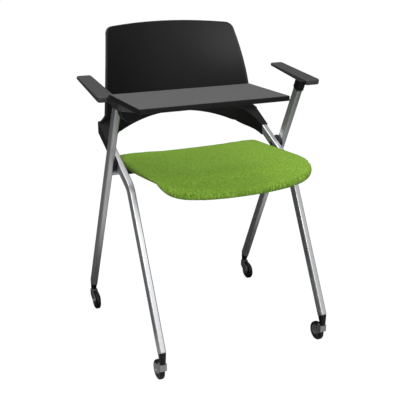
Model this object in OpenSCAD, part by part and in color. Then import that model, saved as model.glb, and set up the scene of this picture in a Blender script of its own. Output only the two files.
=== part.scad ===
// Nesting task chair: two crossed flat-tube side frames on castors, a flip-up upholstered seat,
// an arched plastic back, arm pads and a fold-away writing tablet on one arm.
// Row frame: the chair faces -Y and +Z is up. Left and right, here and in the names, are as seen
// from the front, with +X to the right.

/* [Frame tubes] */
// width of the flat tube, side to side
tube_w = 15; // [12:0.5:20]
// depth of the flat tube, front to back
tube_d = 22; // [18:0.5:30]
// wall of the flat tube
tube_wall = 2; // [1.5:0.1:3]
// outside corner radius of the flat tube
tube_corner = 3.5; // [1:0.1:5]
// distance from the middle to the centre of each inner tube
inner_x = 230; // [210:0.5:250]
// thickness of the plate that keeps the crossed tubes apart
spacer_t = 7.5; // [5:0.5:12]
// lean of the rear leg from the vertical, degrees
outer_lean = 25.15; // [20:0.05:30]
// where the rear leg's tube ends, front to back
outer_foot_y = 53.6; // [30:0.1:80]
// where the rear leg's tube ends, above the floor
outer_foot_z = 76; // [70:0.5:90]
// length of the outer tube
outer_len = 645; // [600:1:690]
// lean of the front leg from the vertical, degrees
inner_lean = 27.3; // [20:0.05:35]
// rise of the back carrier above the horizontal, degrees
inner_rise = 27.2; // [20:0.05:35]
// where the two straights of the inner tube would meet, front to back
bend_y = -226.5; // [-260:0.5:-190]
// where the two straights of the inner tube would meet, above the floor
bend_z = 443; // [420:0.5:470]
// centre-line radius of the bend
bend_r = 50; // [35:1:80]
// height of the front leg's tube end
inner_foot_z = 80; // [70:0.5:90]
// where the inner tube ends inside the back's sleeve
inner_end_y = -34; // [-50:1:-20]
// height of the cross tube's centre
bar_z = 456; // [440:0.5:470]
// radius of the cross tube
bar_r = 7; // [6:0.5:10]
// wall of the cross tube
bar_wall = 2; // [1:0.5:3]

/* [Crossing] */
// spacer plate along the inner tube
spacer_l = 38; // [30:1:60]
// spacer plate across the inner tube
spacer_h = 34; // [26:1:50]
// corner radius of the spacer plate
spacer_corner = 8; // [3:0.5:12]
// radius of the crossing bolt
bolt_r = 4; // [3:0.5:6]
// radius of the crossing bolt's low head
bolt_head_r = 7; // [5:0.5:10]
// height of the crossing bolt's low head
bolt_head_h = 2; // [1:0.5:4]

/* [Castors] */
// wheel radius
wheel_r = 25; // [20:0.5:35]
// tyre width
tyre_w = 13; // [12:0.5:24]
// tyre thickness over the hub
tyre_t = 5.5; // [3:0.5:8]
// shoulder radius of the tyre
tyre_shoulder = 4; // [1:0.5:6]
// distance from the stem to the wheel's centre
trail = 24; // [15:0.5:30]
// front stems, front to back
front_stem_y = -418; // [-440:0.5:-390]
// rear stems, front to back
rear_stem_y = 59; // [40:0.5:80]
// stem radius
stem_r = 4; // [3:0.5:6]
// top of the stem above the floor
stem_top_z = 74; // [60:0.5:90]
// sheet of the fork
fork_t = 2; // [1.5:0.1:3]
// top of the fork above the floor
fork_top_z = 52; // [48:0.5:60]
// lower edge of the fork's bridge above the floor
fork_low_z = 34; // [28:0.5:44]
// radius of the cheek's round end
cheek_r = 13; // [8:0.5:18]
// height of the cheek's round end over the axle
cheek_up = 4.5; // [0:0.5:10]
// axle radius
axle_r = 2.95; // [2:0.05:5]
// axle head radius
axle_head_r = 4.5; // [3:0.5:8]
// radius of the plug's round foot
plug_foot_r = 7.6; // [6:0.1:12]

/* [Seat] */
// half of the seat's greatest width
seat_half_w = 219.5; // [200:0.5:240]
// rear edge of the seat, front to back
seat_rear_y = -56; // [-80:1:-30]
// depth of the seat
seat_depth = 368; // [330:1:400]
// height of the cushion's sides at the rear
seat_top_z = 487.5; // [460:0.5:520]
// rise of the cushion's top towards the front
seat_rise = 6.5; // [0:0.5:20]
// dish of the cushion's top across the middle
seat_dish = 5; // [0:0.5:12]
// fall of the waterfall front
seat_fall = 25; // [5:0.5:40]
// lower edge of the cushion at the rear
seat_low_z = 466.4; // [450:0.1:480]
// drop of the lower edge towards the front
seat_low_drop = 10; // [0:0.5:30]
// lift of the lower edge at the sides
seat_wing = 32; // [0:0.5:45]
// further drop of the lower face at the front lip
seat_lip = 12.5; // [0:0.5:25]
// thickness of the moulded seat pan
pan_t = 5; // [3:0.5:10]
// underside of the seat pan
pan_z = 464.5; // [455:0.5:480]
// height of the pan's ribs
rib_h = 6; // [3:0.5:12]
// thickness of the pan's ribs
rib_t = 3; // [2:0.5:6]
// inner end of each seat hinge block
hinge_x = 178; // [120:1:200]
// length of each seat hinge block along the cross tube
hinge_l = 26; // [15:1:40]
// wall of the hinge block round the cross tube
hinge_wall = 2.5; // [2:0.5:8]
// reach of the hinge block's foot inwards, under the pan
hinge_inset = 30; // [24:1:60]
// reach of the hinge block's foot each way
hinge_foot = 16; // [12:0.5:30]
// thickness of the hinge block's foot
hinge_foot_t = 3.4; // [2:0.2:6]
// inner end of each seat rest
rest_x = 110; // [60:1:125]
// width of each seat rest
rest_w = 22; // [10:1:40]
// reach of each seat rest ahead of the cross tube
rest_l = 50; // [30:1:80]

/* [Back] */
// plan radius of the back
back_plan_r = 620; // [500:5:900]
// side-view radius of the back
back_lean_r = 560; // [400:5:900]
// height at which the back is upright
back_upright_z = 570; // [540:1:620]
// front of the back at that height, front to back
back_mid_y = 20; // [0:1:60]
// thickness of the shell
back_t = 6; // [3:0.5:10]
// top of the back at the middle
back_top_z = 814; // [760:1:860]
// radius of the crowned top edge
back_crown_r = 1850; // [800:10:3000]
// half width of the back at its top corners
back_top_half = 192; // [150:1:230]
// half width of the back near its middle
back_mid_half = 211; // [170:1:240]
// height at which that half width holds
back_mid_z = 675; // [640:1:720]
// half width of the back above its sleeves
back_low_half = 221.5; // [190:0.5:240]
// height at which the sleeves start
back_low_z = 583; // [560:1:600]
// radius of the top corners
back_corner_r = 22; // [10:1:50]
// radius of the arch at the bottom
arch_r = 415; // [300:5:600]
// top of the arch
arch_z = 569; // [540:1:600]
// wall of the sleeve round the tube
sleeve_wall = 2.6; // [2:0.1:5]
// front end of the sleeve, front to back
sleeve_front_y = -85; // [-110:1:-60]
// rear end of the sleeve, front to back
sleeve_rear_y = -14; // [-30:1:10]
// top of the sleeve's rear end
sleeve_rear_z = 568.5; // [560:0.5:580]
// where the gusset meets the shell, from the middle
gusset_x = 174; // [150:1:200]
// radius of the gusset's hollow edge
gusset_r = 120; // [80:5:300]

/* [Arms] */
// length of the outer tube's end inside the collar
collar_lap = 9; // [6:0.5:14]
// collar width
collar_w = 20.5; // [18:0.5:26]
// collar depth
collar_d = 27; // [25:0.5:34]
// collar corner radius
collar_corner = 5; // [2:0.5:8]
// inner edge of the arm pad, from the middle
pad_in_x = 263.4; // [262:0.1:280]
// outer edge of the arm pad, from the middle
pad_out_x = 306.5; // [290:0.5:330]
// taper of the arm pad's outer edge towards the rear
pad_taper = 4.5; // [0:0.5:10]
// front end of the arm pad, ahead of the outer tube's end
pad_fore = 17.98; // [10:0.02:30]
// top of the arm pad's front end, above the outer tube's end
pad_lift = 15.14; // [10:0.02:25]
// tilt of the arm pad, degrees
pad_tilt = 6; // [0:0.5:10]
// length of the arm pad
pad_l = 192; // [150:1:250]
// thickness of the arm pad
pad_t = 15; // [10:0.5:25]
// corner radius of the arm pad in plan
pad_corner = 11; // [6:0.5:18]
// edge radius of the arm pad
pad_edge = 4; // [2:0.5:7]
// step from the pad's top down to the collar's top
collar_step = 2.5; // [0.5:0.5:6]
// reach of the collar's tongue into the pad
tongue_l = 26; // [15:1:36]
// thickness of the tongue
tongue_t = 7; // [4:0.5:10]

/* [Writing tablet] */
// left edge of the tablet, from the middle
tablet_left_x = -306.5; // [-330:0.5:-280]
// tablet length, side to side
tablet_l = 352.5; // [300:0.5:400]
// rear edge of the tablet, ahead of the outer tube's end
tablet_fore = 100.48; // [90:0.02:115]
// tablet depth
tablet_d = 184; // [150:0.5:220]
// top of the tablet, above the outer tube's end
tablet_lift = 35.14; // [30:0.02:60]
// tablet thickness
tablet_t = 11; // [8:0.5:20]
// width of the tablet's edge band
band_w = 2; // [1:0.5:4]
// corner radius of the tablet
tablet_corner = 8; // [3:0.5:30]
// hinge axis, from the middle
fold_x = -264; // [-270:0.5:-255]
// hinge axis below the tablet's top
fold_drop = 37; // [32:0.5:45]
// radius of the hinge disc
disc_r = 24.5; // [18:0.5:28]
// length of the hinge disc along its axis
disc_l = 24.3; // [10:0.1:30]
// radius of the disc's face cap
cap_r = 20.5; // [14:0.5:24]
// thickness of the disc's face cap
cap_t = 2.5; // [1:0.5:5]
// radius of the fixed barrel
barrel_r = 13; // [10:0.5:18]
// radius of the hinge pin
fold_pin_r = 6; // [4:0.5:8]
// reach of the hinge pin into the barrel
fold_pin_in = 32; // [20:1:60]
// depth of the bracket under the tablet
bracket_h = 19; // [12:0.5:25]
// rear edge of the bracket ahead of the disc
bracket_d = 56; // [40:1:90]
// outer edge of the bracket, from the middle
bracket_left_x = -296; // [-304:0.5:-280]
// inner edge of the deep part of the bracket
bracket_right_x = -214; // [-230:1:-180]
// cut across the bracket's front outer corner
bracket_cut = 31; // [10:1:50]
// inner end of the bracket's arm
spine_right_x = -96; // [-150:1:-40]
// thickness of the bracket's arm
spine_t = 5; // [3:0.5:8]

/* [Clearances] */
// gap between fixed parts that touch
seat_gap = 0.1; // [0.05:0.05:0.3]
// running gap round a pin or stem
run_gap = 0.05; // [0.02:0.01:0.1]
// side gap beside a wheel
wheel_gap = 0.6; // [0.3:0.1:1.5]
// gap between a turning part and its neighbour
turn_gap = 0.3; // [0.1:0.1:1]
// gap round the soft cushion
soft_gap = 0.3; // [0.3:0.1:1]
// overrun of every cutting shape
cut = 1; // [0.5:0.5:3]

/* [Hidden] */
$fn = 48;
tau = 360;
right_angle = 90;
half_turn = 180;
outer_x = inner_x + tube_w + spacer_t;
slope_out = tan(outer_lean);
slope_in = tan(inner_rise);
cross_y = (outer_foot_y - slope_out * (bend_z - slope_in * bend_y - outer_foot_z)) / (1 + slope_out * slope_in);
cross_z = bend_z + slope_in * (cross_y - bend_y);
bar_y = outer_foot_y - slope_out * (bar_z - outer_foot_z);
bar_half = outer_x - tube_w / 2;
inner_foot_y = bend_y - tan(inner_lean) * (bend_z - inner_foot_z);
bend_turn = right_angle - inner_lean - inner_rise;
bend_tangent = bend_r * tan(bend_turn / 2);
upper_len = (inner_end_y - bend_y) / cos(inner_rise) - bend_tangent;
bend_start_y = bend_y - bend_tangent * sin(inner_lean);
bend_start_z = bend_z - bend_tangent * cos(inner_lean);
bend_end_y = bend_y + bend_tangent * cos(inner_rise);
bend_end_z = bend_z + bend_tangent * sin(inner_rise);
bend_c_y = bend_start_y + bend_r * cos(inner_lean);
bend_c_z = bend_start_z - bend_r * sin(inner_lean);

corner_steps = 4;
bend_steps = 9;
arm_end_y = outer_foot_y - outer_len * sin(outer_lean);
arm_end_z = outer_foot_z + outer_len * cos(outer_lean);
collar_start = outer_len - collar_lap;
pad_front_y = arm_end_y - pad_fore;
pad_front_z = arm_end_z + pad_lift;
tablet_rear_y = arm_end_y - tablet_fore;
tablet_z = arm_end_z + tablet_lift;
fold_z = tablet_z - fold_drop;
tablet_front_y = tablet_rear_y - tablet_d;
back_rear_y = back_mid_y + back_lean_r
    - sqrt(pow(back_lean_r - back_t, 2) - pow(back_top_z - back_upright_z, 2));
frame_shift = -(tablet_front_y + back_rear_y) / 2;

hub_r = wheel_r - tyre_t;
cheek_in = tyre_w / 2 + wheel_gap;
cheek_out = cheek_in + fork_t;
bridge_in = trail - wheel_r - wheel_gap - cut;
bridge_out = bridge_in - fork_t;
plug_low_z = fork_top_z + cut + seat_gap * 2;

sleeve_w = tube_w + 2 * sleeve_wall;
sleeve_rise = (tube_d / 2 + sleeve_wall) / cos(inner_rise);
tube_line_front = bend_z + slope_in * (sleeve_front_y - bend_y);
tube_line_rear = bend_z + slope_in * (sleeve_rear_y - bend_y);
ear_x = inner_x + sleeve_w / 2 - sleeve_wall / 2;
ear_low = tube_line_rear - sleeve_rise + sleeve_wall;
ear_high = sleeve_rear_z - sleeve_wall;
corner_x = back_top_half - back_corner_r;
corner_z = back_top_z - back_crown_r + sqrt(pow(back_crown_r - back_corner_r, 2) - pow(corner_x, 2));
crown_turn = asin(corner_x / (back_crown_r - back_corner_r));
crown_x = corner_x + back_corner_r * sin(crown_turn);
gusset_y = shell_y(gusset_x, ear_high, back_lean_r - back_t / 2);
corner_rows = 4;
shell_half_cols = 14;
ear_share = (ear_high - ear_low) / (corner_z - ear_low);
low_share = (back_low_z - ear_low) / (corner_z - ear_low);
shell_row_shares = concat([0, ear_share / 2, ear_share], [for (k = [0 : 7]) low_share + (1 - low_share) * k / 7]);

disc_rear_y = tablet_rear_y + turn_gap;
disc_front_y = disc_rear_y - disc_l;
barrel_front_y = disc_rear_y + turn_gap;
arm_top_z = fold_z + disc_r * 0.8;
arm_low_z = fold_z + bolt_head_h;
under_z = tablet_z - tablet_t;
seat_screw_x = hinge_x - hinge_inset * 0.7;

pan_share = 0.8;
recess_share = 0.815;
skirt_share = 0.83;

// the seat's half outline: share of the half width, share of the depth
seat_plan_shares = [
    [0, 0], [0.3, 0], [0.6, 0.001], [0.8, 0.004], [0.885, 0.012], [0.93, 0.034], [0.946, 0.075],
    [0.951, 0.125], [0.96, 0.235], [0.976, 0.38], [0.993, 0.52], [1, 0.64], [0.992, 0.73],
    [0.972, 0.795], [0.945, 0.845], [0.9, 0.885], [0.82, 0.92], [0.68, 0.951], [0.47, 0.979],
    [0.24, 0.995], [0, 1]
];
// the cushion's rings: share of the outline, share of the way up from the lower to the upper face
seat_ring_shares = [
    [skirt_share, 0], [0.93, 0], [0.972, 0.05], [0.991, 0.2], [1, 0.45], [0.996, 0.68], [0.981, 0.86],
    [0.955, 0.96], [0.91, 1], [0.75, 1], [0.5, 1], [0.25, 1]
];

plan_n = len(seat_plan_shares);
function plan_pick(i) = seat_plan_shares[min(max(i, 0), plan_n - 1)];
function plan_mid(i) = (-plan_pick(i - 1) + 9 * plan_pick(i) + 9 * plan_pick(i + 1) - plan_pick(i + 2)) / 16;
plan_half = [for (i = [0 : plan_n - 2]) each [plan_pick(i), plan_mid(i)]];
plan_fine = concat(plan_half, [plan_pick(plan_n - 1)]);
plan_m = len(plan_fine);
plan_mirror = [for (i = [plan_m - 2 : -1 : 1]) [-plan_fine[i][0], plan_fine[i][1]]];
plan_all = concat(plan_fine, plan_mirror);
plan_total = len(plan_all);
seat_mid_y = seat_rear_y - seat_depth / 2;
function plan_point(p, s) = [s * p[0] * seat_half_w, seat_mid_y + s * (seat_rear_y - p[1] * seat_depth - seat_mid_y)];
function along(y) = min(max((seat_rear_y - y) / seat_depth, 0), 1);
function across(x) = min(abs(x) / seat_half_w, 1);
rise_share = 0.62;
fall_share = 0.68;
wing_from_share = 0.33;
wing_to_share = 0.82;
lip_share = 0.79;
function wing_part(t) = min(max((t - wing_from_share) / (wing_to_share - wing_from_share), 0), 1);
function lip_part(t) = max(t - lip_share, 0) / (1 - lip_share);
function cushion_top(x, y) = seat_top_z
    + seat_rise * sin(right_angle * min(along(y) / rise_share, 1))
    - seat_dish * (1 - pow(across(x), 2))
    - seat_fall * pow(max(along(y) - fall_share, 0) / (1 - fall_share), 2);
function cushion_low(x, y) = seat_low_z
    - seat_low_drop * pow(along(y), 1.5)
    - seat_lip * sqrt(lip_part(along(y)))
    + seat_wing * pow(across(x), 6) * wing_part(along(y)) * (1 - lip_part(along(y)));

module placed() {
    translate([0, frame_shift, 0])
        children();
}

// a flat rectangle with true round corners
module round_rect(w, d, r) {
    square([w - 2 * r, d], center = true);
    square([w, d - 2 * r], center = true);
    for (sx = [-1, 1])
        for (sy = [-1, 1])
            translate([sx * (w / 2 - r), sy * (d / 2 - r)])
                circle(r);
}

module tube_out() {
    round_rect(tube_w, tube_d, tube_corner);
}

module tube_in() {
    round_rect(tube_w - 2 * tube_wall, tube_d - 2 * tube_wall, tube_corner - tube_wall);
}

module on_outer(side) {
    translate([side * outer_x, outer_foot_y, outer_foot_z])
        rotate([outer_lean, 0, 0])
            children();
}

module on_lower(side) {
    translate([side * inner_x, inner_foot_y, inner_foot_z])
        rotate([-inner_lean, 0, 0])
            children();
}

module on_upper(side) {
    translate([side * inner_x, bend_end_y, bend_end_z])
        rotate([inner_rise - right_angle, 0, 0])
            children();
}

module outer_tube(side) {
    color("silver")
        on_outer(side)
            difference() {
                linear_extrude(outer_len)
                    tube_out();
                translate([0, 0, -cut])
                    linear_extrude(outer_len + 2 * cut)
                        tube_in();
            }
}

// one section of a flat tube as points, counter-clockwise
function tube_ring(w, d, r) = [
    for (q = [0 : 3])
        for (k = [0 : corner_steps])
            let (
                a = right_angle * (q + k / corner_steps),
                sx = q == 0 || q == 3 ? 1 : -1,
                sy = q < 2 ? 1 : -1
            )
            [sx * (w / 2 - r) + r * cos(a), sy * (d / 2 - r) + r * sin(a)]
];

// stations along the inner tube's centre line: front to back, up, heading
function tube_path(over) = concat(
    [[inner_foot_y - over * sin(inner_lean), inner_foot_z - over * cos(inner_lean), right_angle - inner_lean]],
    [
        for (k = [0 : bend_steps])
            let (a = right_angle - inner_lean - bend_turn * k / bend_steps)
            [bend_c_y - bend_r * sin(a), bend_c_z + bend_r * cos(a), a]
    ],
    [[
        bend_end_y + (upper_len + over) * cos(inner_rise),
        bend_end_z + (upper_len + over) * sin(inner_rise),
        inner_rise
    ]]
);

// a section swept along the stations
module swept(ring, path, side) {
    ring_n = len(ring);
    last = (len(path) - 1) * ring_n;
    points = [
        for (p = path)
            for (q = ring)
                [side * inner_x + q[0], p[0] - q[1] * sin(p[2]), p[1] + q[1] * cos(p[2])]
    ];
    faces = concat(
        [[for (i = [ring_n - 1 : -1 : 0]) i]],
        [
            for (k = [0 : len(path) - 2])
                for (i = [0 : ring_n - 1])
                    let (j = (i + 1) % ring_n, a = k * ring_n, b = (k + 1) * ring_n)
                    each [[a + i, a + j, b + j], [a + i, b + j, b + i]]
        ],
        [[for (i = [0 : ring_n - 1]) last + i]]
    );
    polyhedron(points = points, faces = faces, convexity = 4);
}

module inner_tube(side) {
    color("silver")
        difference() {
            swept(tube_ring(tube_w, tube_d, tube_corner), tube_path(0), side);
            swept(
                tube_ring(tube_w - 2 * tube_wall, tube_d - 2 * tube_wall, tube_corner - tube_wall),
                tube_path(cut), side
            );
        }
}

module spacer(side) {
    color("black")
        translate([side * (inner_x + tube_w / 2 + spacer_t / 2), cross_y, cross_z])
            rotate([inner_rise, 0, 0])
                rotate([right_angle, 0, right_angle])
                    difference() {
                        translate([0, 0, -spacer_t / 2])
                            linear_extrude(spacer_t)
                                round_rect(spacer_l, spacer_h, spacer_corner);
                        translate([0, 0, -spacer_t])
                            cylinder(r = bolt_r + run_gap, h = 2 * spacer_t);
                    }
}

// a shaft through one crossing, from the inner face into the outer tube
module crossing_shaft(side, r) {
    translate([side * (inner_x - tube_w / 2), cross_y, cross_z])
        rotate([0, side * right_angle, 0])
            cylinder(r = r, h = tube_w + spacer_t + tube_w / 2);
}

module crossing_bolt(side) {
    crossing_shaft(side, bolt_r);
    translate([side * (inner_x - tube_w / 2), cross_y, cross_z])
        rotate([0, -side * right_angle, 0])
            cylinder(r1 = bolt_head_r, r2 = bolt_head_r - bolt_head_h / 2, h = bolt_head_h);
}

module cross_tube() {
    color("silver")
        translate([-bar_half, bar_y, bar_z])
            rotate([0, right_angle, 0])
                difference() {
                    cylinder(r = bar_r, h = 2 * bar_half);
                    translate([0, 0, -cut])
                        cylinder(r = bar_r - bar_wall, h = 2 * (bar_half + cut));
                }
}

// tongues ahead of the cross tube that carry the pan when the seat is down
module seat_rests() {
    color("dimgray")
        difference() {
            for (side = [-1, 1])
                translate([side * (rest_x + rest_w / 2) - rest_w / 2, bar_y - rest_l, pan_z - seat_gap - pan_t])
                    cube([rest_w, rest_l, pan_t]);
            translate([-bar_half, bar_y, bar_z])
                rotate([0, right_angle, 0])
                    cylinder(r = bar_r + run_gap, h = 2 * bar_half);
        }
}

module plug_section(depth) {
    translate([0, 0, -depth])
        linear_extrude(depth)
            tube_out();
}

module plug_insert() {
    translate([0, 0, -tube_wall / 2])
        linear_extrude(tube_d + tube_wall / 2)
            round_rect(tube_w - 2 * (tube_wall + seat_gap), tube_d - 2 * (tube_wall + seat_gap), tube_corner - tube_wall);
}

module plug_foot(x, y) {
    translate([x, y, plug_low_z])
        cylinder(r = plug_foot_r, h = tube_wall);
}

module stem_hole(x, y) {
    translate([x, y, plug_low_z - cut])
        cylinder(r = stem_r + run_gap, h = stem_top_z + turn_gap - plug_low_z + cut);
}

module front_plug(side) {
    color("black")
        difference() {
            union() {
                hull() {
                    on_lower(side)
                        plug_section(tube_wall);
                    plug_foot(side * inner_x, front_stem_y);
                }
                on_lower(side)
                    plug_insert();
            }
            stem_hole(side * inner_x, front_stem_y);
        }
}

module rear_plug(side) {
    color("black")
        difference() {
            union() {
                hull() {
                    on_outer(side)
                        plug_section(tube_wall);
                    plug_foot(side * outer_x, rear_stem_y);
                }
                on_outer(side)
                    plug_insert();
            }
            stem_hole(side * outer_x, rear_stem_y);
        }
}

// puts a castor's parts at its stem; way is 1 where the wheel trails to the rear
module at_stem(x, y, way) {
    translate([x, y, 0])
        rotate([0, 0, way > 0 ? 0 : half_turn])
            children();
}

module on_axle() {
    translate([0, trail, wheel_r])
        rotate([0, right_angle, 0])
            children();
}

module cheek_outline() {
    hull() {
        translate([bridge_out, fork_low_z])
            square([fork_t, fork_top_z - fork_low_z]);
        translate([trail, wheel_r + cheek_up])
            circle(r = cheek_r);
    }
}

module castor_fork(x, y, way) {
    color("gray")
        at_stem(x, y, way) {
            difference() {
                union() {
                    for (sx = [-1, 1])
                        translate([sx * (cheek_in + fork_t / 2) - fork_t / 2, 0, 0])
                            rotate([right_angle, 0, right_angle])
                                linear_extrude(fork_t)
                                    cheek_outline();
                    translate([-cheek_out, bridge_out, fork_low_z])
                        cube([2 * cheek_out, fork_t, fork_top_z - fork_low_z]);
                    translate([-cheek_out, bridge_out, fork_top_z - fork_t])
                        cube([2 * cheek_out, 2 * plug_foot_r, fork_t]);
                    translate([0, 0, fork_top_z - fork_t])
                        cylinder(r = stem_r + fork_t / 2, h = fork_t + cut);
                    translate([0, 0, fork_top_z - fork_t])
                        cylinder(r = stem_r, h = stem_top_z - fork_top_z + fork_t);
                }
                on_axle()
                    translate([0, 0, -2 * cheek_out])
                        cylinder(r = axle_r + run_gap, h = 4 * cheek_out);
            }
        }
}

module castor_axle(x, y, way) {
    color("silver")
        at_stem(x, y, way)
            on_axle() {
                translate([0, 0, -cheek_out])
                    cylinder(r = axle_r, h = 2 * cheek_out);
                for (sz = [-1, 1])
                    translate([0, 0, sz * (cheek_out + fork_t / 4) - fork_t / 4])
                        cylinder(r = axle_head_r, h = fork_t / 2);
            }
}

module wheel_hub(x, y, way) {
    color("dimgray")
        at_stem(x, y, way)
            on_axle()
                difference() {
                    translate([0, 0, -tyre_w / 2])
                        cylinder(r = hub_r, h = tyre_w);
                    for (sz = [-1, 1])
                        translate([0, 0, sz * tyre_w / 2])
                            rotate_extrude()
                                translate([axle_head_r + fork_t, -fork_t])
                                    square([hub_r - axle_head_r - 2 * fork_t, 2 * fork_t]);
                    translate([0, 0, -tyre_w])
                        cylinder(r = axle_r + run_gap, h = 2 * tyre_w);
                }
}

module tyre_section() {
    translate([hub_r, -tyre_w / 2])
        square([tyre_t - tyre_shoulder, tyre_w]);
    translate([hub_r, -tyre_w / 2 + tyre_shoulder])
        square([tyre_t, tyre_w - 2 * tyre_shoulder]);
    for (sy = [-1, 1])
        intersection() {
            translate([wheel_r - tyre_shoulder, sy * (tyre_w / 2 - tyre_shoulder)])
                circle(r = tyre_shoulder);
            translate([hub_r, -tyre_w / 2])
                square([tyre_t, tyre_w]);
        }
}

module wheel_tyre(x, y, way) {
    color("black")
        at_stem(x, y, way)
            on_axle()
                rotate_extrude()
                    tyre_section();
}

// plan radius of the shell's face at a height; r is the side view's radius of that face
function face_radius(z, r) = back_plan_r + back_lean_r - sqrt(pow(r, 2) - pow(z - back_upright_z, 2));
function shell_y(x, z, r) = back_mid_y - back_plan_r + sqrt(pow(face_radius(z, r), 2) - pow(x, 2));

// half width of the shell at a height: one smooth side line, then the ears inside the sleeves
function side_width(z) = z <= ear_high
    ? ear_x
    : z < back_low_z
        ? ear_x + (back_low_half - ear_x) * (z - ear_high) / (back_low_z - ear_high)
        : back_top_half * (z - back_mid_z) * (z - back_low_z) / ((corner_z - back_mid_z) * (corner_z - back_low_z))
            + back_mid_half * (z - corner_z) * (z - back_low_z) / ((back_mid_z - corner_z) * (back_mid_z - back_low_z))
            + back_low_half * (z - corner_z) * (z - back_mid_z) / ((back_low_z - corner_z) * (back_low_z - back_mid_z));

function arch_low(x) = x < gusset_x
    ? arch_z - arch_r + sqrt(pow(arch_r, 2) - pow(x, 2))
    : arch_low(gusset_x - seat_gap) + (ear_low - arch_low(gusset_x - seat_gap)) * (x - gusset_x) / (ear_x - gusset_x);
function crown_high(x) = back_top_z - back_crown_r + sqrt(pow(back_crown_r, 2) - pow(x, 2));

// one column of the shell's outline from the arch to the crown, as [x, z] points; u runs from -1 to 1
function shell_column(u) =
    let (
        low = arch_low(abs(u) * ear_x),
        high = crown_high(u * crown_x)
    )
    concat(
        [for (v = shell_row_shares) let (z = low + v * (corner_z - low)) [u * side_width(z), z]],
        [
            for (k = [1 : corner_rows])
                let (a = (right_angle - crown_turn) * k / corner_rows)
                [
                    u * (corner_x + back_corner_r * cos(a)),
                    corner_z + (high - corner_z) * sin(a) / cos(crown_turn)
                ]
        ]
    );

// the shell's own skin, bent in plan and in side view, with round top corners and an arched foot
module shell_skin() {
    cols = [for (i = [-shell_half_cols : shell_half_cols]) shell_column(i / shell_half_cols)];
    col_n = len(cols);
    row_n = len(cols[0]);
    total = col_n * row_n;
    points = [
        for (r = [back_lean_r, back_lean_r - back_t])
            for (c = cols)
                for (p = c)
                    [p[0], shell_y(p[0], p[1], r), p[1]]
    ];
    top = row_n - 1;
    faces = concat(
        [
            for (i = [0 : col_n - 2])
                for (k = [0 : row_n - 2])
                    let (a = i * row_n + k, b = a + 1, c = b + row_n, d = a + row_n)
                    each [[a, b, c], [a, c, d], [total + a, total + c, total + b], [total + a, total + d, total + c]]
        ],
        [
            for (k = [0 : row_n - 2])
                let (a = k, b = (col_n - 1) * row_n + k)
                each [
                    [a + 1, a, total + a], [a + 1, total + a, total + a + 1],
                    [b, b + 1, total + b + 1], [b, total + b + 1, total + b]
                ]
        ],
        [
            for (i = [0 : col_n - 2])
                let (a = i * row_n, b = a + row_n)
                each [
                    [a, b, total + b], [a, total + b, total + a],
                    [b + top, a + top, total + a + top], [b + top, total + a + top, total + b + top]
                ]
        ]
    );
    polyhedron(points = points, faces = faces, convexity = 4);
}

module on_sleeve_side(side) {
    translate([side * inner_x, 0, 0])
        rotate([right_angle, 0, right_angle])
            children();
}

// side view of a sleeve: low at the front, tall at the rear
module sleeve_side() {
    polygon([
        [sleeve_front_y, tube_line_front - sleeve_rise],
        [gusset_y, tube_line_rear - sleeve_rise + slope_in * (gusset_y - sleeve_rear_y)],
        [gusset_y, sleeve_rear_z],
        [sleeve_rear_y - sleeve_wall * 2, sleeve_rear_z],
        [sleeve_front_y, tube_line_front + sleeve_rise]
    ]);
}

// plan of one sleeve with its gusset, whose free edge is hollow
module sleeve_plan(side) {
    in_x = inner_x - sleeve_w / 2;
    out_x = inner_x + sleeve_w / 2;
    meet_y = shell_y(in_x, ear_high, back_lean_r - back_t / 2);
    chord = [in_x - gusset_x, sleeve_front_y - gusset_y];
    chord_l = norm(chord);
    off = sqrt(pow(gusset_r, 2) - pow(chord_l / 2, 2));
    mid = [(in_x + gusset_x) / 2, (sleeve_front_y + gusset_y) / 2];
    mirror([side < 0 ? 1 : 0, 0])
        difference() {
            polygon([
                [gusset_x, gusset_y], [in_x, meet_y], [in_x + sleeve_wall, sleeve_rear_y], [out_x, sleeve_rear_y],
                [out_x, sleeve_front_y], [in_x, sleeve_front_y]
            ]);
            translate([mid[0] + off * chord[1] / chord_l, mid[1] - off * chord[0] / chord_l])
                circle(r = gusset_r, $fn = 180);
        }
}

module sleeve(side) {
    intersection() {
        translate([0, 0, tube_line_front - 2 * sleeve_rise])
            linear_extrude(sleeve_rear_z - tube_line_front + 4 * sleeve_rise)
                sleeve_plan(side);
        on_sleeve_side(side)
            translate([0, 0, -2 * sleeve_w - gusset_x / 4])
                linear_extrude(4 * sleeve_w + gusset_x / 2)
                    sleeve_side();
    }
}

module tube_pocket(side) {
    on_upper(side)
        linear_extrude(upper_len + seat_gap)
            round_rect(tube_w + 2 * seat_gap, tube_d + 2 * seat_gap, tube_corner + seat_gap);
}

// the fixing screw under each sleeve, square to the tube
module at_back_screw(side) {
    on_upper(side)
        translate([0, tube_d / 2 + sleeve_wall, upper_len - tube_d])
            rotate([-right_angle, 0, 0])
                children();
}

module back_screw_hole(side) {
    at_back_screw(side)
        translate([0, 0, -sleeve_wall - tube_wall * 3])
            cylinder(r = bolt_r / 2 + run_gap, h = sleeve_wall * 2 + tube_wall * 3);
}

module backrest_shell() {
    color("black")
        difference() {
            union() {
                shell_skin();
                for (side = [-1, 1])
                    sleeve(side);
            }
            for (side = [-1, 1]) {
                tube_pocket(side);
                back_screw_hole(side);
            }
        }
}

module back_screws() {
    color("dimgray")
        for (side = [-1, 1])
            at_back_screw(side) {
                cylinder(r1 = bolt_r, r2 = bolt_r - bolt_head_h / 2, h = bolt_head_h);
                translate([0, 0, -sleeve_wall - tube_wall * 2])
                    cylinder(r = bolt_r / 2, h = sleeve_wall + tube_wall * 2);
            }
}

module on_pad(side) {
    translate([side * pad_in_x, pad_front_y, pad_front_z])
        rotate([pad_tilt, 0, 0])
            mirror([side < 0 ? 1 : 0, 0, 0])
                children();
}

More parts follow.
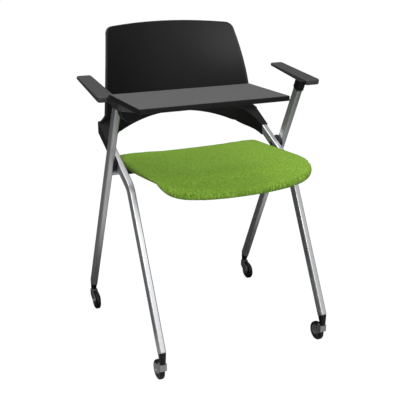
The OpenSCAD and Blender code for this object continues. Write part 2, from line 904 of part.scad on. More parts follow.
module collar_block(side, grow, drop) {
    intersection() {
        on_outer(side)
            translate([0, 0, collar_start - drop])
                linear_extrude(collar_d * 2 + drop)
                    round_rect(collar_w + 2 * grow, collar_d + 2 * grow, collar_corner);
        translate([side * outer_x, pad_front_y, pad_front_z])
            rotate([pad_tilt, 0, 0])
                translate([-collar_d, -collar_d, -collar_d * 3 - collar_step])
                    cube([2 * collar_d, 4 * collar_d, collar_d * 3]);
    }
}

module tongue(side, grow) {
    on_pad(side)
        translate([-collar_w / 4, collar_d / 4 - grow, -pad_t / 2 - tongue_t / 2 - grow])
            cube([collar_w / 4 + tongue_l + grow, collar_d * 0.7 + 2 * grow, tongue_t + 2 * grow]);
}

module arm_collar(side) {
    color("black")
        difference() {
            union() {
                collar_block(side, 0, 0);
                tongue(side, 0);
            }
            on_outer(side)
                linear_extrude(outer_len + seat_gap)
                    round_rect(tube_w + 2 * seat_gap, tube_d + 2 * seat_gap, tube_corner + seat_gap);
            at_pad_screws(side)
                translate([0, 0, -cut])
                    cylinder(r = bolt_r / 2 + run_gap, h = pad_t);
        }
}

// a disc with a rounded rim, for the pad's corners
module pad_puck(r) {
    rotate_extrude($fn = 24) {
        square([r - pad_edge, pad_t]);
        translate([0, pad_edge])
            square([r, pad_t - 2 * pad_edge]);
        for (z = [pad_edge, pad_t - pad_edge])
            translate([r - pad_edge, z])
                circle(r = pad_edge, $fn = 16);
    }
}

module arm_pad(side) {
    pad_w = pad_out_x - pad_in_x;
    color("dimgray")
        difference() {
            on_pad(side)
                translate([0, 0, -pad_t])
                    hull() {
                        for (px = [pad_corner, pad_w - pad_corner])
                            translate([px, pad_corner, 0])
                                pad_puck(pad_corner);
                        for (px = [pad_corner, pad_w - pad_taper - pad_corner])
                            translate([px, pad_l - pad_corner, 0])
                                pad_puck(pad_corner);
                    }
            tongue(side, seat_gap);
            at_pad_screws(side)
                translate([0, 0, -bolt_head_h - cut])
                    cylinder(r = bolt_r, h = pad_t / 2 - tongue_t / 2 + bolt_head_h + cut);
        }
}

// two screws up through the pad's underside into the tongue
module at_pad_screws(side) {
    for (py = [collar_d * 0.4, collar_d * 0.78])
        on_pad(side)
            translate([tongue_l * 0.7, py, -pad_t])
                children();
}

module pad_screws() {
    color("gray")
        for (side = [-1, 1])
            at_pad_screws(side) {
                translate([0, 0, pad_t / 2 - tongue_t / 2 - bolt_head_h - seat_gap])
                    cylinder(r = bolt_r - seat_gap * 2, h = bolt_head_h);
                translate([0, 0, pad_t / 2 - tongue_t / 2 - seat_gap * 2])
                    cylinder(r = bolt_r / 2, h = tongue_t - seat_gap);
            }
}

module on_fold(y) {
    translate([fold_x, y, fold_z])
        rotate([right_angle, 0, 0])
            children();
}

// fixed arm from the left collar to the fold hinge
module tablet_arm() {
    reach = pad_front_y - barrel_front_y;
    color("dimgray")
        difference() {
            union() {
                on_fold(pad_front_y - bolt_r)
                    cylinder(r = barrel_r, h = reach - bolt_r);
                translate([fold_x - barrel_r - fold_pin_r, barrel_front_y, arm_low_z])
                    cube([2 * (barrel_r + fold_pin_r) + fork_t, reach - 2 * seat_gap, arm_top_z - arm_low_z]);
                translate([-outer_x - collar_w / 2, pad_front_y - barrel_r, arm_low_z - barrel_r])
                    cube([collar_w, barrel_r + collar_d, barrel_r + bolt_head_h]);
            }
            for (back = [0, collar_d * 0.5, collar_d])
                translate([0, back, 0])
                    collar_block(-1, seat_gap, collar_d);
            on_fold(barrel_front_y + fold_pin_in)
                cylinder(r = fold_pin_r + run_gap, h = fold_pin_in + cut);
        }
}

module fold_pin() {
    color("silver")
        on_fold(barrel_front_y + fold_pin_in - turn_gap)
            cylinder(r = fold_pin_r, h = fold_pin_in + disc_l - turn_gap);
}

// turning disc of the hinge, below the tablet's left end
module fold_rotor() {
    color("black")
        difference() {
            on_fold(disc_rear_y)
                cylinder(r = disc_r, h = disc_l);
            on_fold(disc_rear_y + cut)
                cylinder(r = fold_pin_r + run_gap, h = disc_l + 2 * cut);
        }
}

module rotor_cap() {
    color("black")
        difference() {
            on_fold(disc_front_y - seat_gap)
                cylinder(r = cap_r, h = cap_t);
            translate([fold_x - disc_r, disc_front_y - disc_r, under_z - bracket_h - seat_gap])
                cube([2 * disc_r, 2 * disc_r, bracket_h * 2]);
        }
}

module tablet_bracket() {
    rear = disc_front_y - seat_gap;
    front = rear - bracket_d;
    top = under_z - seat_gap;
    color("dimgray")
        difference() {
            union() {
                translate([0, 0, top - bracket_h])
                    linear_extrude(bracket_h)
                        polygon([
                            [bracket_left_x, rear], [bracket_left_x, front + bracket_cut],
                            [bracket_left_x + bracket_cut, front], [bracket_right_x, front], [bracket_right_x, rear]
                        ]);
                translate([bracket_right_x - bracket_cut, front, top - spine_t])
                    cube([spine_right_x - bracket_right_x, bracket_d, spine_t]);
                translate([spine_right_x - bracket_cut, (rear + front) / 2, top - spine_t])
                    cylinder(r = bracket_d / 2, h = spine_t);
            }
            at_tablet_screws()
                translate([0, 0, -bracket_h - cut])
                    cylinder(r = bolt_r / 2 + run_gap, h = 2 * bracket_h);
        }
}

module at_tablet_screws() {
    mid = disc_front_y - seat_gap - bracket_d / 2;
    for (px = [bracket_right_x + bracket_cut / 2, spine_right_x - bracket_cut])
        for (sy = [-1, 1])
            translate([px, mid + sy * bracket_d / 4, under_z])
                children();
}

module tablet_screws() {
    color("gray")
        at_tablet_screws() {
            translate([0, 0, -seat_gap * 2 - spine_t - bolt_head_h])
                cylinder(r = bolt_r, h = bolt_head_h);
            translate([0, 0, -spine_t - seat_gap * 2])
                cylinder(r = bolt_r / 2, h = spine_t + tablet_t * 0.6);
        }
}

module tablet_plan(inset) {
    translate([tablet_left_x + tablet_l / 2, tablet_rear_y - tablet_d / 2])
        round_rect(tablet_l - 2 * inset, tablet_d - 2 * inset, tablet_corner - inset);
}

module tablet_board() {
    color("gray")
        difference() {
            translate([0, 0, under_z])
                linear_extrude(tablet_t)
                    tablet_plan(band_w);
            at_tablet_screws()
                translate([0, 0, -cut])
                    cylinder(r = bolt_r / 2 + run_gap, h = cut + tablet_t * 0.7);
        }
}

module tablet_band() {
    color("black")
        translate([0, 0, under_z])
            linear_extrude(tablet_t)
                difference() {
                    tablet_plan(0);
                    tablet_plan(band_w);
                }
}

// upholstered cushion: dished top, drawn-in sides, waterfall front, pocket for the pan
module seat_cushion() {
    ring_n = len(seat_ring_shares);
    ceiling = pan_z + pan_t + soft_gap;
    pocket = [for (p = plan_all) let (q = plan_point(p, recess_share)) [q[0], q[1], ceiling]];
    rings = [
        for (k = [0 : ring_n - 1])
            for (p = plan_all)
                let (
                    q = plan_point(p, seat_ring_shares[k][0]),
                    low = cushion_low(q[0], q[1]),
                    high = cushion_top(q[0], q[1])
                )
                [q[0], q[1], low + seat_ring_shares[k][1] * (high - low)]
    ];
    points = concat(pocket, rings, [[0, seat_mid_y, ceiling]], [[0, seat_mid_y, cushion_top(0, seat_mid_y)]]);
    rows = ring_n + 1;
    floor_i = rows * plan_total;
    faces = concat(
        [for (i = [0 : plan_total - 1]) [floor_i, (i + 1) % plan_total, i]],
        [
            for (k = [0 : rows - 2])
                for (i = [0 : plan_total - 1])
                    let (j = (i + 1) % plan_total, a = k * plan_total, b = (k + 1) * plan_total)
                    each [[a + i, a + j, b + j], [a + i, b + j, b + i]]
        ],
        [for (i = [0 : plan_total - 1]) let (a = (rows - 1) * plan_total) [floor_i + 1, a + i, a + (i + 1) % plan_total]]
    );
    color("yellowgreen")
        polyhedron(points = points, faces = faces, convexity = 4);
}

module at_seat_screws() {
    for (side = [-1, 1])
        for (sy = [-1, 1])
            translate([side * seat_screw_x, bar_y + sy * (hinge_foot - bolt_r), pan_z])
                children();
}

module seat_pan() {
    rib_len = seat_depth * 0.5;
    color("black")
        difference() {
            union() {
                translate([0, 0, pan_z])
                    linear_extrude(pan_t)
                        polygon([for (p = plan_all) plan_point(p, pan_share)]);
                for (px = [-2, -1, 1, 2])
                    translate([px * seat_half_w / 4 - rib_t / 2, bar_y - rest_l - rib_h - rib_len, pan_z - rib_h])
                        cube([rib_t, rib_len, rib_h + pan_t / 2]);
            }
            at_seat_screws()
                translate([0, 0, -cut])
                    cylinder(r = bolt_r / 2 + run_gap, h = pan_t + 2 * cut);
        }
}

module seat_hinge(side) {
    color("black")
        difference() {
            translate([side * (hinge_x + hinge_l / 2) - hinge_l / 2, 0, 0])
                union() {
                    translate([0, bar_y, bar_z])
                        rotate([0, right_angle, 0])
                            cylinder(r = bar_r + hinge_wall, h = hinge_l);
                    translate([0, bar_y - bar_r - hinge_wall, bar_z])
                        cube([hinge_l, 2 * (bar_r + hinge_wall), pan_z - seat_gap - bar_z]);
                    translate([side > 0 ? -hinge_inset : 0, bar_y - hinge_foot, pan_z - seat_gap - hinge_foot_t])
                        cube([hinge_l + hinge_inset, 2 * hinge_foot, hinge_foot_t]);
                }
            translate([-bar_half, bar_y, bar_z])
                rotate([0, right_angle, 0])
                    cylinder(r = bar_r + run_gap, h = 2 * bar_half);
            at_seat_screws()
                translate([0, 0, -2 * hinge_foot_t])
                    cylinder(r = bolt_r / 2 + run_gap, h = 3 * hinge_foot_t);
        }
}

module seat_screws() {
    color("gray")
        at_seat_screws() {
            translate([0, 0, -2 * seat_gap - hinge_foot_t - bolt_head_h])
                cylinder(r = bolt_r * 0.6, h = bolt_head_h);
            translate([0, 0, -2 * seat_gap - hinge_foot_t])
                cylinder(r = bolt_r / 2, h = hinge_foot_t + pan_t * 0.8);
        }
}

module crossing_bolts() {
    color("silver")
        for (side = [-1, 1])
            crossing_bolt(side);
}

module outer_tube_drilled(side) {
    difference() {
        outer_tube(side);
        crossing_shaft(side, bolt_r + run_gap);
    }
}

module inner_tube_drilled(side) {
    difference() {
        inner_tube(side);
        crossing_shaft(side, bolt_r + run_gap);
        back_screw_hole(side);
    }
}

placed() outer_tube_drilled(-1);  // outer_tube_left
placed() outer_tube_drilled(1);  // outer_tube_right
placed() inner_tube_drilled(-1);  // inner_tube_left
placed() inner_tube_drilled(1);  // inner_tube_right
placed() spacer(-1);  // spacer_left
placed() spacer(1);  // spacer_right
placed() crossing_bolts();
placed() cross_tube();
placed() seat_rests();
placed() front_plug(-1);  // leg_plug_front_left
placed() front_plug(1);  // leg_plug_front_right
placed() rear_plug(-1);  // leg_plug_rear_left
placed() rear_plug(1);  // leg_plug_rear_right
placed() castor_fork(-inner_x, front_stem_y, 1);  // fork_front_left
placed() castor_fork(inner_x, front_stem_y, 1);  // fork_front_right
placed() castor_fork(-outer_x, rear_stem_y, -1);  // fork_rear_left
placed() castor_fork(outer_x, rear_stem_y, -1);  // fork_rear_right
placed() castor_axle(-inner_x, front_stem_y, 1);  // axle_front_left
placed() castor_axle(inner_x, front_stem_y, 1);  // axle_front_right
placed() castor_axle(-outer_x, rear_stem_y, -1);  // axle_rear_left
placed() castor_axle(outer_x, rear_stem_y, -1);  // axle_rear_right
placed() wheel_hub(-inner_x, front_stem_y, 1);  // hub_front_left
placed() wheel_hub(inner_x, front_stem_y, 1);  // hub_front_right
placed() wheel_hub(-outer_x, rear_stem_y, -1);  // hub_rear_left
placed() wheel_hub(outer_x, rear_stem_y, -1);  // hub_rear_right
placed() wheel_tyre(-inner_x, front_stem_y, 1);  // tyre_front_left
placed() wheel_tyre(inner_x, front_stem_y, 1);  // tyre_front_right
placed() wheel_tyre(-outer_x, rear_stem_y, -1);  // tyre_rear_left
placed() wheel_tyre(outer_x, rear_stem_y, -1);  // tyre_rear_right
placed() backrest_shell();
placed() back_screws();
placed() arm_collar(-1);  // arm_collar_left
placed() arm_collar(1);  // arm_collar_right
placed() arm_pad(-1);  // arm_pad_left
placed() arm_pad(1);  // arm_pad_right
placed() pad_screws();
placed() tablet_arm();
placed() fold_pin();
placed() fold_rotor();
placed() rotor_cap();
placed() tablet_bracket();
placed() tablet_board();
placed() tablet_band();
placed() tablet_screws();
placed() seat_cushion();
placed() seat_pan();
placed() seat_hinge(-1);  // seat_hinge_left
placed() seat_hinge(1);  // seat_hinge_right
placed() seat_screws();
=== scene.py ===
import math

import bmesh
import bpy
import numpy as np
from mathutils import Matrix, Vector


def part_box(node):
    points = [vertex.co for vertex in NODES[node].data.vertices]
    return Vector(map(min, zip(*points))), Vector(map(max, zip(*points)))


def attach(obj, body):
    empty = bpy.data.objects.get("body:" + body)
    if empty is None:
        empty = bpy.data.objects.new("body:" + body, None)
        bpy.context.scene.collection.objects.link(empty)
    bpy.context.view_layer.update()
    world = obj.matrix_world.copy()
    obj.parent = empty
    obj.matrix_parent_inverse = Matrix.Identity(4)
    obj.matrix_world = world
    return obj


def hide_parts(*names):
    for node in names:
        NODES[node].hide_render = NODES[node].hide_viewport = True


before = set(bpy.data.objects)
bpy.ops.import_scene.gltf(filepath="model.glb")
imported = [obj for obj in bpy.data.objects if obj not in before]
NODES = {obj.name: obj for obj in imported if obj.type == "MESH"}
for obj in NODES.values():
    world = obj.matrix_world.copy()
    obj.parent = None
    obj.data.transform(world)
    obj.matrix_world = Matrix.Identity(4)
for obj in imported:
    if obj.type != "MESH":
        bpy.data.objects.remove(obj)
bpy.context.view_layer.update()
CORNERS = ("front_left", "front_right", "rear_left", "rear_right")
SIDES = (("left", -1), ("right", 1))
# the side view was designed from an origin of its own; SHIFT takes its y values into the frame
DESIGN_TABLET_Y = -0.505
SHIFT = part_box("tablet_band")[0].y - DESIGN_TABLET_Y


# ---------------------------------------------------------------- materials

def new_material(name):
    m = bpy.data.materials.new(name)
    m.use_nodes = True
    return m, m.node_tree, m.node_tree.nodes["Principled BSDF"]


def feed(nt, socket, value):
    """links an output to the socket, or sets a constant there"""
    if hasattr(value, "is_linked"):
        nt.links.new(value, socket)
    else:
        socket.default_value = value


def node(nt, kind, inputs=None, **props):
    n = nt.nodes.new(kind)
    for k, v in props.items():
        setattr(n, k, v)
    for k, v in (inputs or {}).items():
        feed(nt, n.inputs[k], v)
    return n


def maths(nt, operation, *values):
    return node(nt, "ShaderNodeMath", dict(enumerate(values)), operation=operation).outputs[0]


def ramp(nt, fac, stops):
    r = node(nt, "ShaderNodeValToRGB", {"Fac": fac})
    els = r.color_ramp.elements
    while len(els) < len(stops):
        els.new(0.5)
    for e, (place, colour) in zip(els, stops):
        e.position = place
        e.color = (*colour, 1)
    return r.outputs["Color"]


def coords(nt):
    return node(nt, "ShaderNodeTexCoord").outputs["Object"]


def noise(nt, scale, detail=3.0, rough=0.55, vec=None):
    return node(nt, "ShaderNodeTexNoise", {
        "Vector": vec or coords(nt), "Scale": scale, "Detail": detail, "Roughness": rough,
    }).outputs["Fac"]


def mix(nt, fac, a, b):
    n = node(nt, "ShaderNodeMix", data_type="RGBA")
    for socket, v in ((0, fac), (6, a), (7, b)):
        feed(nt, n.inputs[socket], (*v, 1) if isinstance(v, tuple) else v)
    return n.outputs[2]


def remap(nt, fac, lo, hi, a=0.0, b=1.0):
    return node(nt, "ShaderNodeMapRange", {
        "Value": fac, "From Min": lo, "From Max": hi, "To Min": a, "To Max": b,
    }).outputs["Result"]


def bump(nt, bsdf, height, strength, distance):
    b = node(nt, "ShaderNodeBump", {"Height": height, "Strength": strength, "Distance": distance})
    nt.links.new(b.outputs["Normal"], bsdf.inputs["Normal"])


TONE_SCALE, GLOSS_SCALE, GRAIN_STRENGTH = 14.0, 60.0, 0.35


def grained(
    name, base, rough, grain=900.0, depth=0.00012, spread=0.12, metal=0.0, spec=0.5, drift=0.05,
):
    """moulded plastic, paint or metal: fine grain in height, slow drift in tone and gloss"""
    m, nt, b = new_material(name)
    slow = noise(nt, TONE_SCALE, 3.0)
    fine = noise(nt, grain, 2.0)
    dark = tuple(c * (1 - spread) for c in base)
    light = tuple(min(1.0, c * (1 + spread)) for c in base)
    nt.links.new(mix(nt, slow, dark, light), b.inputs["Base Color"])
    gloss = noise(nt, GLOSS_SCALE, 4.0)
    nt.links.new(remap(nt, gloss, 0.3, 0.7, rough - drift, rough + drift), b.inputs["Roughness"])
    b.inputs["Metallic"].default_value = metal
    b.inputs["Specular IOR Level"].default_value = spec
    bump(nt, b, fine, GRAIN_STRENGTH, depth)
    return m


STREAK = (1.0, 1.0, 0.22)                          # draws the flecks out in height
CELL_SCALE, FLECK_SCALE, TUFT_SCALE, CLOUD_SCALE = 330.0, 270.0, 120.0, 26.0
FELT_TOP = [
    (0.36, (0.125, 0.250, 0.022)), (0.46, (0.184, 0.336, 0.032)),
    (0.55, (0.222, 0.390, 0.041)), (0.66, (0.305, 0.490, 0.070)),
]
# the same felt, darker and with bolder contrast: painted shade for faces that turn down
FELT_SIDE_SHADE = [
    (0.38, (0.080, 0.175, 0.014)), (0.46, (0.150, 0.285, 0.026)),
    (0.54, (0.215, 0.380, 0.041)), (0.64, (0.330, 0.510, 0.082)),
]
TUFT_GREEN, CLOUD_GREEN = (0.165, 0.315, 0.030), (0.225, 0.395, 0.044)
SHEEN_GREEN = (0.55, 0.8, 0.25, 1)
MIRRORED_GREY, MIRRORED_SHARE = (0.10, 0.11, 0.09), 0.8
CELL_RELIEF, FELT_STRENGTH, FELT_DEPTH = 0.6, 0.6, 0.0007


def fabric_material():
    """green melange felt: fine light and dark fibres in short streaks; where it turns down, a darker
    copy with bolder contrast is painted shade
    """
    m, nt, b = new_material("seat_fabric_melange")
    place = node(nt, "ShaderNodeTexCoord").outputs
    drawn = node(nt, "ShaderNodeVectorMath", {0: place["Object"], 1: STREAK}, operation="MULTIPLY")
    vec = drawn.outputs["Vector"]
    cells = node(nt, "ShaderNodeTexVoronoi", {
        "Vector": vec, "Scale": CELL_SCALE, "Randomness": 1.0,
    }, feature="F1")
    fleck = noise(nt, FLECK_SCALE, 2.0, 0.7, vec)
    tuft = noise(nt, TUFT_SCALE, 2.0, 0.6, vec)
    cloud = noise(nt, CLOUD_SCALE, 3.0, 0.6)
    # faces that turn down take the darker, bolder copy: painted shade
    upward = node(nt, "ShaderNodeSeparateXYZ", {0: place["Normal"]}).outputs["Z"]
    side = remap(nt, maths(nt, "ABSOLUTE", upward), 0.85, 0.35)
    base = mix(nt, side, ramp(nt, fleck, FELT_TOP), ramp(nt, fleck, FELT_SIDE_SHADE))
    tufted = mix(nt, remap(nt, tuft, 0.35, 0.65, 0.0, 0.40), base, TUFT_GREEN)
    tone = mix(nt, remap(nt, cloud, 0.3, 0.7, 0.0, 0.25), tufted, CLOUD_GREEN)
    # the photo's metal shows the seat almost grey
    mirrored = node(nt, "ShaderNodeLightPath").outputs["Is Glossy Ray"]
    shown = mix(nt, maths(nt, "MULTIPLY", mirrored, MIRRORED_SHARE), tone, MIRRORED_GREY)
    nt.links.new(shown, b.inputs["Base Color"])
    b.inputs["Roughness"].default_value = 0.92
    b.inputs["Specular IOR Level"].default_value = 0.2
    b.inputs["Sheen Weight"].default_value = 0.10
    b.inputs["Sheen Roughness"].default_value = 0.5
    b.inputs["Sheen Tint"].default_value = SHEEN_GREEN
    height = maths(nt, "MULTIPLY_ADD", cells.outputs["Distance"], CELL_RELIEF, fleck)
    bump(nt, b, height, FELT_STRENGTH, FELT_DEPTH)
    return m


# name, colour, roughness, grain scale, grain depth, spread of tone
MAT = {
    "tube": grained("silver_paint", (0.64, 0.65, 0.665), 0.36, 1400.0, 0.00005, 0.03, metal=0.86),
    "bar": grained("plain_steel", (0.62, 0.62, 0.63), 0.30, 900.0, 0.00004, 0.05, metal=1.0),
    "fork": grained("fork_paint", (0.29, 0.29, 0.30), 0.32, 900.0, 0.00006, 0.06, metal=0.62),
    "dark": grained("dark_paint", (0.020, 0.020, 0.021), 0.42, 1100.0, 0.00008, 0.10),
    "bracket": grained(
        "bracket_paint", (0.17, 0.17, 0.178), 0.40, 900.0, 0.00008, 0.08, metal=0.4),
    "back": grained(
        "back_plastic", (0.0080, 0.0080, 0.0082), 0.32, 1500.0, 0.00002, 0.06,
        spec=0.15, drift=0.008),
    # a lighter black for the shell's rounded rim: a painted highlight
    "rim": grained(
        "back_rim_painted_highlight", (0.0185, 0.0185, 0.0190), 0.40, 1500.0, 0.00003, 0.08, spec=0.25, drift=0.01),
    "black": grained(
        "black_plastic", (0.0065, 0.0065, 0.0068), 0.40, 1200.0, 0.00010, 0.15, spec=0.28),
    "pad": grained("pad_plastic", (0.052, 0.052, 0.053), 0.55, 900.0, 0.00018, 0.12, spec=0.35),
    "tablet": grained(
        "tablet_laminate", (0.100, 0.100, 0.101), 0.50, 1600.0, 0.00004, 0.03, spec=0.35),
    "hub": grained("hub_plastic", (0.020, 0.020, 0.021), 0.45, 900.0, 0.00008, 0.10),
    "tyre": grained(
        "castor_tread", (0.0075, 0.0075, 0.0078), 0.55, 1300.0, 0.00015, 0.18, spec=0.25),
    "steel": grained("bolt_steel", (0.50, 0.50, 0.51), 0.32, 800.0, 0.00005, 0.06, metal=1.0),
    "screw": grained("dark_screws", (0.09, 0.09, 0.092), 0.38, 800.0, 0.00005, 0.08, metal=0.9),
    "fabric": fabric_material(),
}


# ---------------------------------------------------------------- mesh tools

MERGE_DIST, FLAT_ANGLE = 1e-6, math.radians(1.0)


def add_object(name, data):
    o = bpy.data.objects.new(name, data)
    bpy.context.scene.collection.objects.link(o)
    return o


def shade_smooth(me):
    me.polygons.foreach_set("use_smooth", [True] * len(me.polygons))


def mesh_object(name, verts, faces, mat, smooth=True):
    me = bpy.data.meshes.new(name)
    me.from_pydata([tuple(v) for v in verts], [], faces)
    me.validate()
    me.update()
    me.materials.append(mat)
    if smooth:
        shade_smooth(me)
    return add_object(name, me)


def face_outward(o, matrix=None):
    """turns every face outward, and moves the points by the matrix"""
    bm = bmesh.new()
    bm.from_mesh(o.data)
    bmesh.ops.recalc_face_normals(bm, faces=bm.faces)
    if matrix is not None:
        bmesh.ops.transform(bm, matrix=matrix, verts=bm.verts)
    bm.to_mesh(o.data)
    bm.free()


def weigh_normals(o, weight):
    w = o.modifiers.new("normals", "WEIGHTED_NORMAL")
    w.keep_sharp = False
    w.weight = weight


def add_bevel(o, width, segments, angle):
    b = o.modifiers.new("edge", "BEVEL")
    b.width = width
    b.segments = segments
    b.limit_method = "ANGLE"
    b.angle_limit = math.radians(angle)
    b.harden_normals = False
    weigh_normals(o, 80)


def apply_all(o):
    """puts the result of the modifiers in place of the mesh"""
    bpy.context.view_layer.update()
    dg = bpy.context.evaluated_depsgraph_get()
    me = bpy.data.meshes.new_from_object(
        o.evaluated_get(dg), preserve_all_data_layers=True, depsgraph=dg)
    o.modifiers.clear()
    old = o.data
    o.data = me
    bpy.data.meshes.remove(old)


def finish_piece(o, body, nodes):
    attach(o, body)
    if nodes:
        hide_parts(*nodes)
    return o


def refined(node_name, body, mat, bevel=0.0006, angle=32, segments=2):
    """a copy of a CAD node with merged points and softly broken edges"""
    bm = bmesh.new()
    bm.from_mesh(NODES[node_name].data)
    bmesh.ops.remove_doubles(bm, verts=bm.verts, dist=MERGE_DIST)
    bmesh.ops.dissolve_limit(
        bm, angle_limit=FLAT_ANGLE, use_dissolve_boundaries=False,
        verts=bm.verts[:], edges=bm.edges[:],
    )
    me = bpy.data.meshes.new("fine_" + node_name)
    bm.to_mesh(me)
    bm.free()
    me.materials.clear()
    me.materials.append(mat)
    shade_smooth(me)
    o = add_object("fine_" + node_name, me)
    add_bevel(o, bevel, segments, angle)
    finish_piece(o, body, [node_name])


def ring_faces(rings, n):
    """the skin over a stack of rings of n points, closed at both ends"""
    f = []
    for k in range(rings - 1):
        for i in range(n):
            j = (i + 1) % n
            a, b = k * n, (k + 1) * n
            f.append((a + i, a + j, b + j, b + i))
    f.append(tuple(range(n - 1, -1, -1)))
    f.append(tuple((rings - 1) * n + i for i in range(n)))
    return f


def inward_of(pts):
    """unit vectors that point inward from a closed, counter-clockwise outline"""
    tang = np.roll(pts, -1, 0) - np.roll(pts, 1, 0)
    tang /= np.linalg.norm(tang, axis=1)[:, None]
    return np.stack([-tang[:, 1], tang[:, 0]], 1)


def clamp(v):
    return min(max(v, 0), 1)


def section(w, d, r, steps=6):
    """a rectangle w wide and d high with round corners"""
    pts = []
    for q in range(4):
        sx = 1 if q in (0, 3) else -1
        sy = 1 if q < 2 else -1
        for k in range(steps + 1):
            a = math.radians(90 * (q + k / steps))
            pts.append((sx * (w / 2 - r) + r * math.cos(a), sy * (d / 2 - r) + r * math.sin(a)))
    return pts


def ring_at(x, place, sec):
    """a section set square to the path at (y, z, heading)"""
    y, z, a = place
    return [(x + u, y - v * math.sin(a), z + v * math.cos(a)) for u, v in sec]


# ---------------------------------------------------------------- side frames

# width, height and corner radius of the tube outside, inside, and of the pocket in its sleeve
TUBE_SKIN, TUBE_BORE = (0.0160, 0.0236, 0.0034), (0.012, 0.0196, 0.0014)
TUBE_POCKET = (0.0162, 0.0238, 0.0036)
OUTER_LEAN, INNER_LEAN, INNER_RISE = (math.radians(a) for a in (25.15, 27.3, 27.2))
OUTER_X, OUTER_FOOT_Y, OUTER_FOOT_Z = 0.2525, 0.0536 + SHIFT, 0.076
INNER_X, INNER_FOOT_Z, INNER_END_Y = 0.230, 0.080, -0.034 + SHIFT
BEND_Y, BEND_Z, BEND_R = -0.2265 + SHIFT, 0.443, 0.050
# places along a tube; the pairs 2 mm apart keep its cut ends crisp
OUTER_STOPS, INNER_STOPS = (0.0, 0.002, 0.2, 0.4, 0.643, 0.645), (0.0, 0.002, 0.15, 0.3)


def tube(name, x, path, mat):
    """flat tube with a wall: outer skin, end lips and the bore, swept along (y, z, heading)"""
    skin, bore = section(*TUBE_SKIN), section(*TUBE_BORE)
    n, total = len(skin), 2 * len(path)
    verts = [v for p in path for v in ring_at(x, p, skin)]
    verts += [v for p in reversed(path) for v in ring_at(x, p, bore)]
    faces = []
    for k in range(total):
        a, b = k * n, ((k + 1) % total) * n
        faces.extend((a + (i + 1) % n, a + i, b + i, b + (i + 1) % n) for i in range(n))
    o = mesh_object(name, verts, faces, mat)
    face_outward(o)
    weigh_normals(o, 80)
    return o


def outer_path():
    a = math.pi / 2 + OUTER_LEAN
    return [(OUTER_FOOT_Y + s * math.cos(a), OUTER_FOOT_Z + s * math.sin(a), a) for s in OUTER_STOPS]


def inner_path(steps=16):
    """up the front leg, round the bend, and back to the shell"""
    turn = math.pi / 2 - INNER_LEAN - INNER_RISE
    tangent = BEND_R * math.tan(turn / 2)
    sy, sz = BEND_Y - tangent * math.sin(INNER_LEAN), BEND_Z - tangent * math.cos(INNER_LEAN)
    cy, cz = sy + BEND_R * math.cos(INNER_LEAN), sz - BEND_R * math.sin(INNER_LEAN)
    low = math.pi / 2 - INNER_LEAN
    length = (sz - INNER_FOOT_Z) / math.cos(INNER_LEAN)
    path = [
        (sy - (length - s) * math.cos(low), sz - (length - s) * math.sin(low), low)
        for s in INNER_STOPS
    ]
    for k in range(steps + 1):
        a = low - turn * k / steps
        path.append((cy - BEND_R * math.sin(a), cz + BEND_R * math.cos(a), a))
    ey, ez = path[-1][0], path[-1][1]
    up = (INNER_END_Y - BEND_Y) / math.cos(INNER_RISE) - tangent
    path += [
        (ey + s * math.cos(INNER_RISE), ez + s * math.sin(INNER_RISE), INNER_RISE)
        for s in (up * 0.5, up)
    ]
    return path


for word, side in SIDES:
    for kind, x, path in (("outer", OUTER_X, outer_path()), ("inner", INNER_X, inner_path())):
        o = tube("tube_" + kind + "_" + word, side * x, path, MAT["tube"])
        finish_piece(o, "frame", [kind + "_tube_" + word])
    refined("spacer_" + word, "frame", MAT["black"], 0.0008)
    refined("arm_collar_" + word, "frame", MAT["black"], 0.0008)
    refined("seat_hinge_" + word, "seat", MAT["black"], 0.0006)


# ---------------------------------------------------------------- back shell

PLAN_R, LEAN_R, BACK_T = 0.620, 0.560, 0.006
UPRIGHT_Z, MID_Y = 0.570, 0.020 + SHIFT
TOP_Z, CROWN_R, TOP_HALF, CORNER_R = 0.814, 1.850, 0.192, 0.022
MID_HALF, MID_Z, LOW_HALF, LOW_Z = 0.211, 0.675, 0.2215, 0.583
ARCH_R, ARCH_Z, GUSSET_X, GUSSET_R = 0.415, 0.569, 0.174, 0.120
# how the gusset's underside drops to meet the arch: straight, and with a belly
GUSSET_SLOPE, GUSSET_BELLY = 0.22, 0.028
SLEEVE_WALL = 0.0026
SLEEVE_W = 0.015 + 2 * SLEEVE_WALL
SLOPE = math.tan(INNER_RISE)
SLEEVE_RISE = (0.011 + SLEEVE_WALL) / math.cos(INNER_RISE)
SLEEVE_FRONT, SLEEVE_REAR, SLEEVE_TOP = -0.085 + SHIFT, -0.014 + SHIFT, 0.5685
HALF_COLS, RIM_R, RIM_STEPS = 34, 0.0024, 6
HIGHLIGHT_ROWS, HIGHLIGHT_SLOT = 2, 1                          # top strips that take the rim's lighter colour, a painted highlight, and that colour's slot


def tube_line(y):
    return BEND_Z + SLOPE * (y - BEND_Y)


EAR_X = INNER_X + SLEEVE_W / 2 - SLEEVE_WALL / 2
EAR_LOW = tube_line(SLEEVE_REAR) - SLEEVE_RISE + SLEEVE_WALL
EAR_HIGH = SLEEVE_TOP - SLEEVE_WALL
CORNER_X = TOP_HALF - CORNER_R
CORNER_Z = TOP_Z - CROWN_R + math.sqrt((CROWN_R - CORNER_R) ** 2 - CORNER_X ** 2)
CROWN_TURN = math.asin(CORNER_X / (CROWN_R - CORNER_R))
CROWN_X = CORNER_X + CORNER_R * math.sin(CROWN_TURN)


def shell_y(x, z, r):
    """the shell's depth at (x, z), bent in plan and, with radius r, in side view"""
    face = PLAN_R + LEAN_R - math.sqrt(r * r - (z - UPRIGHT_Z) ** 2)
    return MID_Y - PLAN_R + math.sqrt(face * face - x * x)


